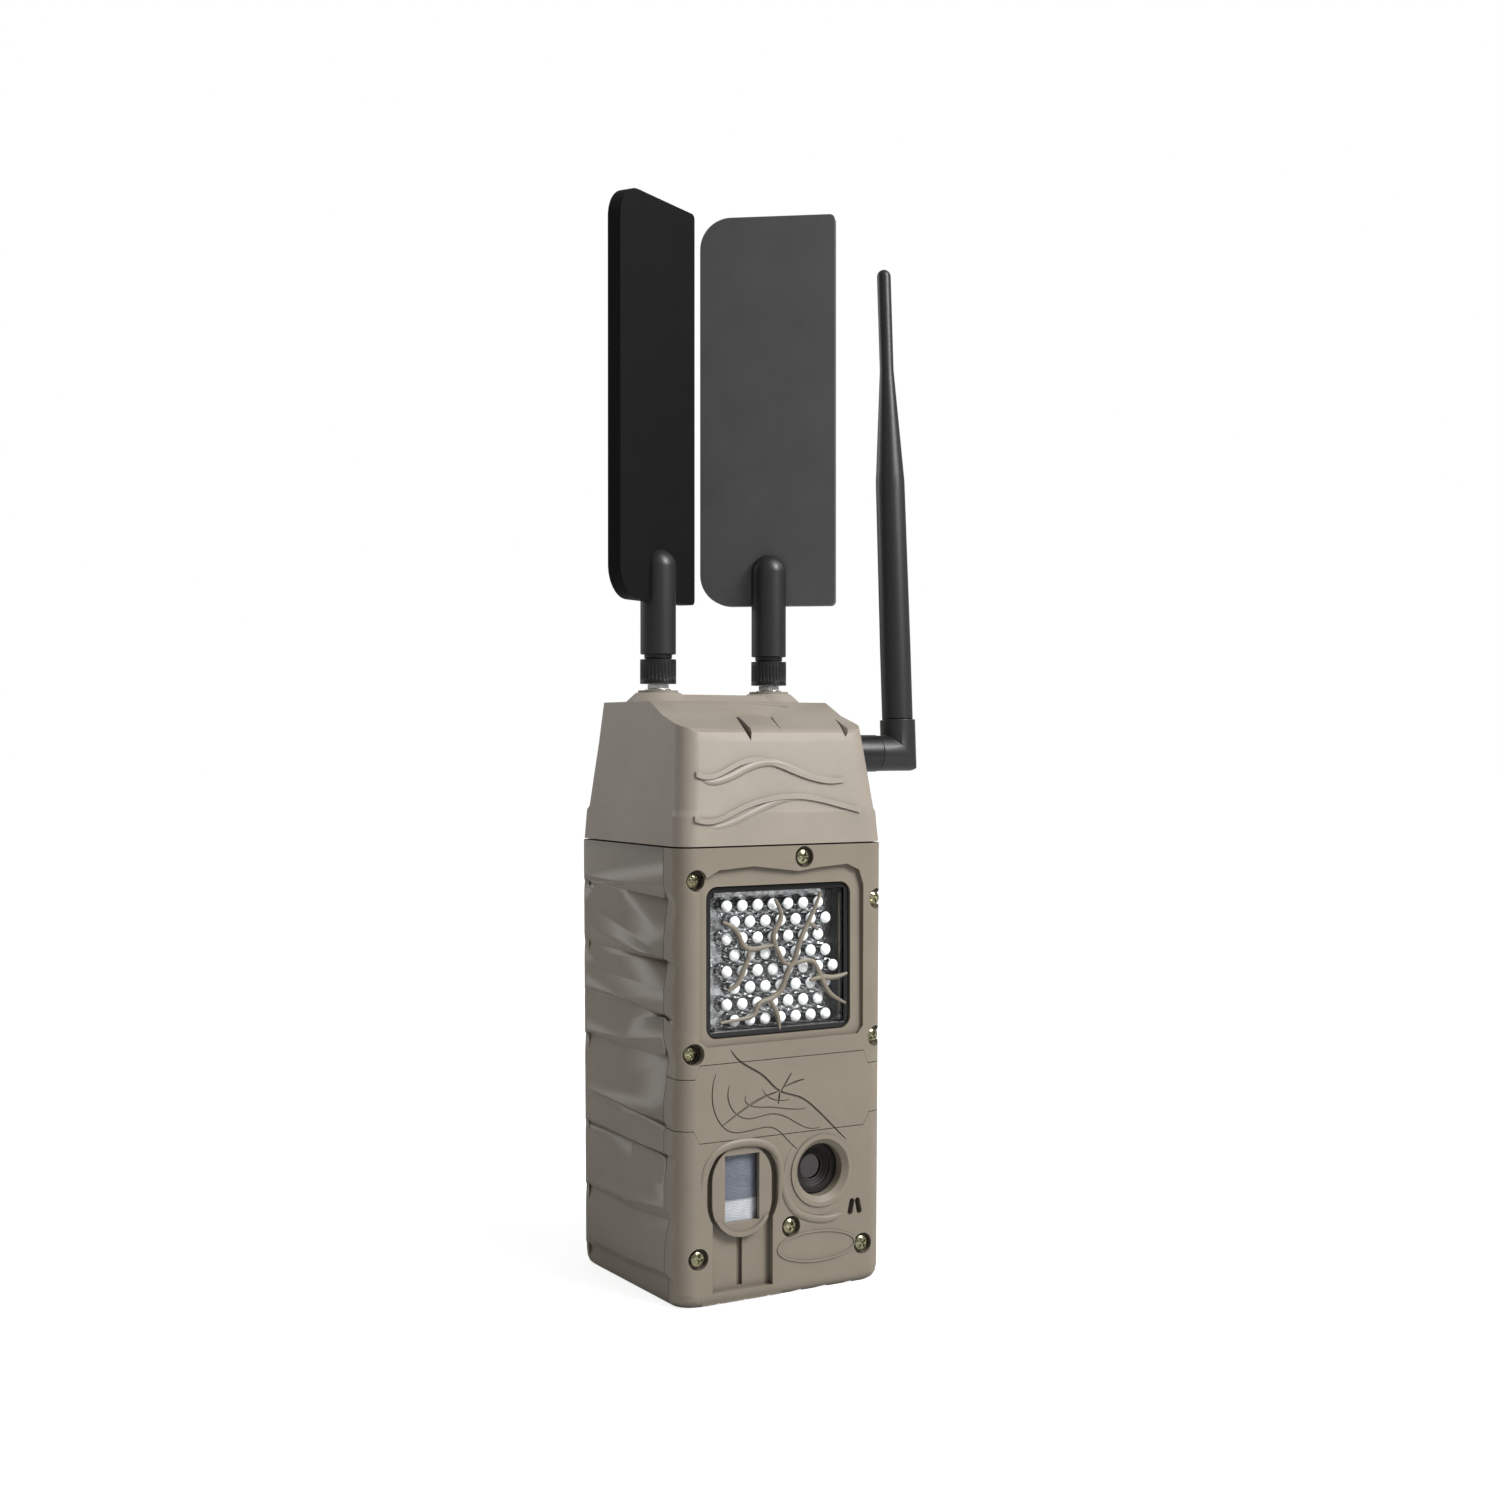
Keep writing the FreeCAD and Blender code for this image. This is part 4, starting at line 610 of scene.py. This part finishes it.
# %% [markdown]
# ## The ribbed lens of the motion sensor
# The sensor sees through a milky film that is moulded with fine ridges: wavy contour lines above, and a
# paler block of zigzag rows below. The film is a grid, bowed forward, whose points are pushed in and
# out by two sine patterns, so that the ridges are real and catch the light.

# %% Film with ridges
FILM_X, FILM_Z, FILM_HALF_W = -18.0, (28.4, 56.0), 7.9
FILM_Y, FILM_BOW = -37.4, 1.0
RIDGE_HEIGHT, RIDGE_PITCH, ZIGZAG_TOP = 0.11, 1.5, 36.8

film = bmesh.new()
bmesh.ops.create_grid(film, x_segments=84, y_segments=150, size=0.5)
for vert in film.verts:
    across, up = vert.co.x * 2, vert.co.y + 0.5
    x, z = FILM_HALF_W * across, FILM_Z[0] + (FILM_Z[1] - FILM_Z[0]) * up
    if z > ZIGZAG_TOP:
        wander = 0.5 * math.sin(x * 0.85 + z * 0.35) + 0.35 * math.sin(x * 1.9 - z * 0.6)
    else:
        wander = 0.75 * abs((x / 2.6) % 2 - 1)
    ridge = RIDGE_HEIGHT * abs(math.sin(math.pi * (z + wander) / (RIDGE_PITCH if z > ZIGZAG_TOP else 1.05)))
    vert.co = (FILM_X * MM + x * MM, (FILM_Y - FILM_BOW * (1 - across * across) - ridge) * MM, z * MM)
film_finish, film_shader = finish_base("ribbed_film", IOR=1.5)
film_shader.inputs["Subsurface Weight"].default_value = 0.15
film_shader.inputs["Subsurface Radius"].default_value = (0.001, 0.001, 0.0012)
up_film = node(film_finish, "ShaderNodeSeparateXYZ", [("Vector", place(film_finish))]).outputs["Z"]
pale_block = node(film_finish, "ShaderNodeMapRange",
                  [("Value", up_film), ("From Min", (ZIGZAG_TOP + 0.5) * MM),
                   ("From Max", (ZIGZAG_TOP - 0.5) * MM)])
cloud = noise(film_finish, 260.0, 3.0, 0.6)
blue_grey = ramp(film_finish, cloud, [(0.3, (0.125, 0.140, 0.175)), (0.7, (0.165, 0.180, 0.215))])
milky = ramp(film_finish, cloud, [(0.3, (0.42, 0.44, 0.47)), (0.7, (0.56, 0.58, 0.61))])
connect(film_finish, film_shader, Base_Color=tint(film_finish, pale_block.outputs["Result"], blue_grey,
                                                  milky),
        Roughness=spread(film_finish, cloud, 0.25, 0.4))
film_piece = piece_from(film, "ribbed_film", "camera_body", "fresnel", film_finish, recalculate=False)
thick = film_piece.modifiers.new("thickness", "SOLIDIFY")
thick.thickness, thick.offset = 0.5 * MM, -1.0
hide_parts("motion_lens")

# %% [markdown]
# ## Moulded ridges on the front
# The case has soft raised lips: one arches over the sensor's disc, one wraps the lower left of the
# lens, and two waves run across the cap. Each is a flattened tube sunk into the face, so that only a
# low rounded crest stands out, with ends that thin away to nothing.

# %% Lips and waves
def ridge(name, body, slot, finish, line, radius, sink, flat, y_at):
    """A low crest along a line of (x, z); sink is how deep its middle sits, flat squeezes it."""
    shape = tubes(name, [line], radius, 0.12, lambda z: 0.0)
    bmesh.ops.scale(shape, verts=shape.verts, vec=(1, flat, 1))
    for vert in shape.verts:
        vert.co.y += (y_at(vert.co.z / MM) + sink) * MM
    return piece_from(shape, name, body, slot, finish)


def cap_y(z):
    """Where the cap's front face stands: nearly upright below its shoulder line, then sloping back."""
    if z < 180.0:
        return -41.3 - (180.0 - z) * (42.4 - 41.3) / (180.0 - SEAM_Z)
    return -41.3 + (z - 180.0) * (41.3 - 37.4) / 25.0


SENSOR_ARCH = [(-35.0, 36.0), (-35.4, 45.3), (-33.2, 52.6), (-27.6, 57.4), (-18.0, 58.8), (-8.4, 57.4),
               (-2.8, 52.6), (-1.6, 45.5), (-2.2, 36.0), (-2.6, 24.0)]
LENS_LIP = [(-0.2, 50.0), (-1.0, 44.0), (-0.3, 37.8), (3.0, 31.6), (8.2, 28.0), (16.4, 25.6), (23.7, 26.0),
            (28.0, 28.2)]
CAP_WAVE_HIGH = [(-37.0, 193.8), (-33.5, 190.8), (-29.0, 190.4), (-22.0, 192.4), (-13.0, 196.6),
                 (-5.0, 198.0), (3.0, 196.2), (12.0, 192.2), (20.0, 190.8), (28.0, 191.4)]
CAP_WAVE_LOW = [(-38.5, 177.0), (-34.0, 174.2), (-28.0, 174.0), (-20.0, 176.4), (-10.0, 180.8),
                (0.0, 184.2), (8.0, 185.0), (18.0, 183.2), (27.0, 181.2), (36.0, 180.8)]
ridge("sensor_arch", "camera_body", "case_plastic", case_taupe, SENSOR_ARCH, 1.7, 0.4, 0.65, face_y)
ridge("lens_lip", "camera_body", "case_plastic", case_taupe, LENS_LIP, 1.8, 0.4, 0.60, face_y)
# The cap waves take the cap's paler copy of the case plastic, which is painted light.
ridge("cap_wave_high", "camera_body", "cap_plastic", cap_taupe_painted_light, CAP_WAVE_HIGH, 1.9, 0.5, 0.75, cap_y)
ridge("cap_wave_low", "camera_body", "cap_plastic", cap_taupe_painted_light, CAP_WAVE_LOW, 1.9, 0.85, 0.75, cap_y)

# %% [markdown]
# ## Screws, pegs and threads
# Small metal parts give the front its sparkle. The jacks' threads are a zigzag profile spun round,
# between the cap's bosses and the collars. Four black pegs hold the window's corners.

# %% Jack threads
MAST_X, MAST_Y, BOSS_TOP_Z = 25.0, 11.7, 225.0
THREAD_R, THREAD_PITCH, THREAD_TURNS = 3.15, 0.6, 6


def thread_profile(first):
    """(radius, height) pairs that zigzag between a thread's root and crest."""
    pairs = []
    for k in range(THREAD_TURNS):
        pairs += [(THREAD_R - 0.25, first + k * THREAD_PITCH), (THREAD_R, first + (k + 0.5) * THREAD_PITCH)]
    return pairs


threads = bmesh.new()
for side in (-1, 1):
    centre = Vector((side * MAST_X * MM, MAST_Y * MM, 0))
    points = [centre + Vector((r * MM, 0, z * MM)) for r, z in thread_profile(BOSS_TOP_Z + 0.2)]
    turn_profile(threads, points, centre, (0, 0, 1), 28)
piece_from(threads, "jack_threads", "camera_body", "jack_metal", nickel)

# %% Window pegs
PEG_PLACES = [(-29.6, 149.2), (26.4, 149.4), (26.2, 100.4), (-29.4, 100.2)]
pegs = bmesh.new()
for x, z in PEG_PLACES:
    turn_profile(pegs, [((x + r) * MM, y * MM, z * MM) for r,
                        y in ((0, -38.2), (1.1, -38.1), (1.5, -37.6), (1.5, -35.2))],
                 (x * MM, 0, z * MM), (0, 1, 0), 16)
piece_from(pegs, "window_pegs", "camera_body", "black_plastic", inner_black)

# %% [markdown]
# ## Inside the lens tube
# A lens hood is stepped inside. Its near-black colour, on the hood and on its rings, is painted shade
# for the deep tube. Rings of falling radius, spun from one stepped profile, lead down to the small
# front element.

# %% Baffle rings
LENS_X, LENS_Z, HOOD_R, STEP_Y = 16.0, 44.5, 9.7, -36.0
STEPS = 5
baffle_profile = []
for k in range(STEPS):
    r, y = HOOD_R - 0.45 - k * 0.95, STEP_Y + k * 0.55
    baffle_profile += [(r, y - 0.35), (r - 0.12, y), (r - 0.95, y + 0.05)]
baffle = bmesh.new()
turn_profile(baffle, [((LENS_X + r) * MM, y * MM, LENS_Z * MM) for r, y in baffle_profile],
             (LENS_X * MM, 0, LENS_Z * MM), (0, 1, 0), 48)
# Painted shade: the rings and the hood are coloured near black for the dark inside the tube.
bore_painted_shade = moulded("bore_painted_shade", (0.012, 0.009, 0.008), 0.6, grain=0.00006, worn=2.2, contrast=0.5)
piece_from(baffle, "lens_baffles", "camera_body", "black_plastic", bore_painted_shade)
nodes["lens_hood"].data.materials[0] = bore_painted_shade
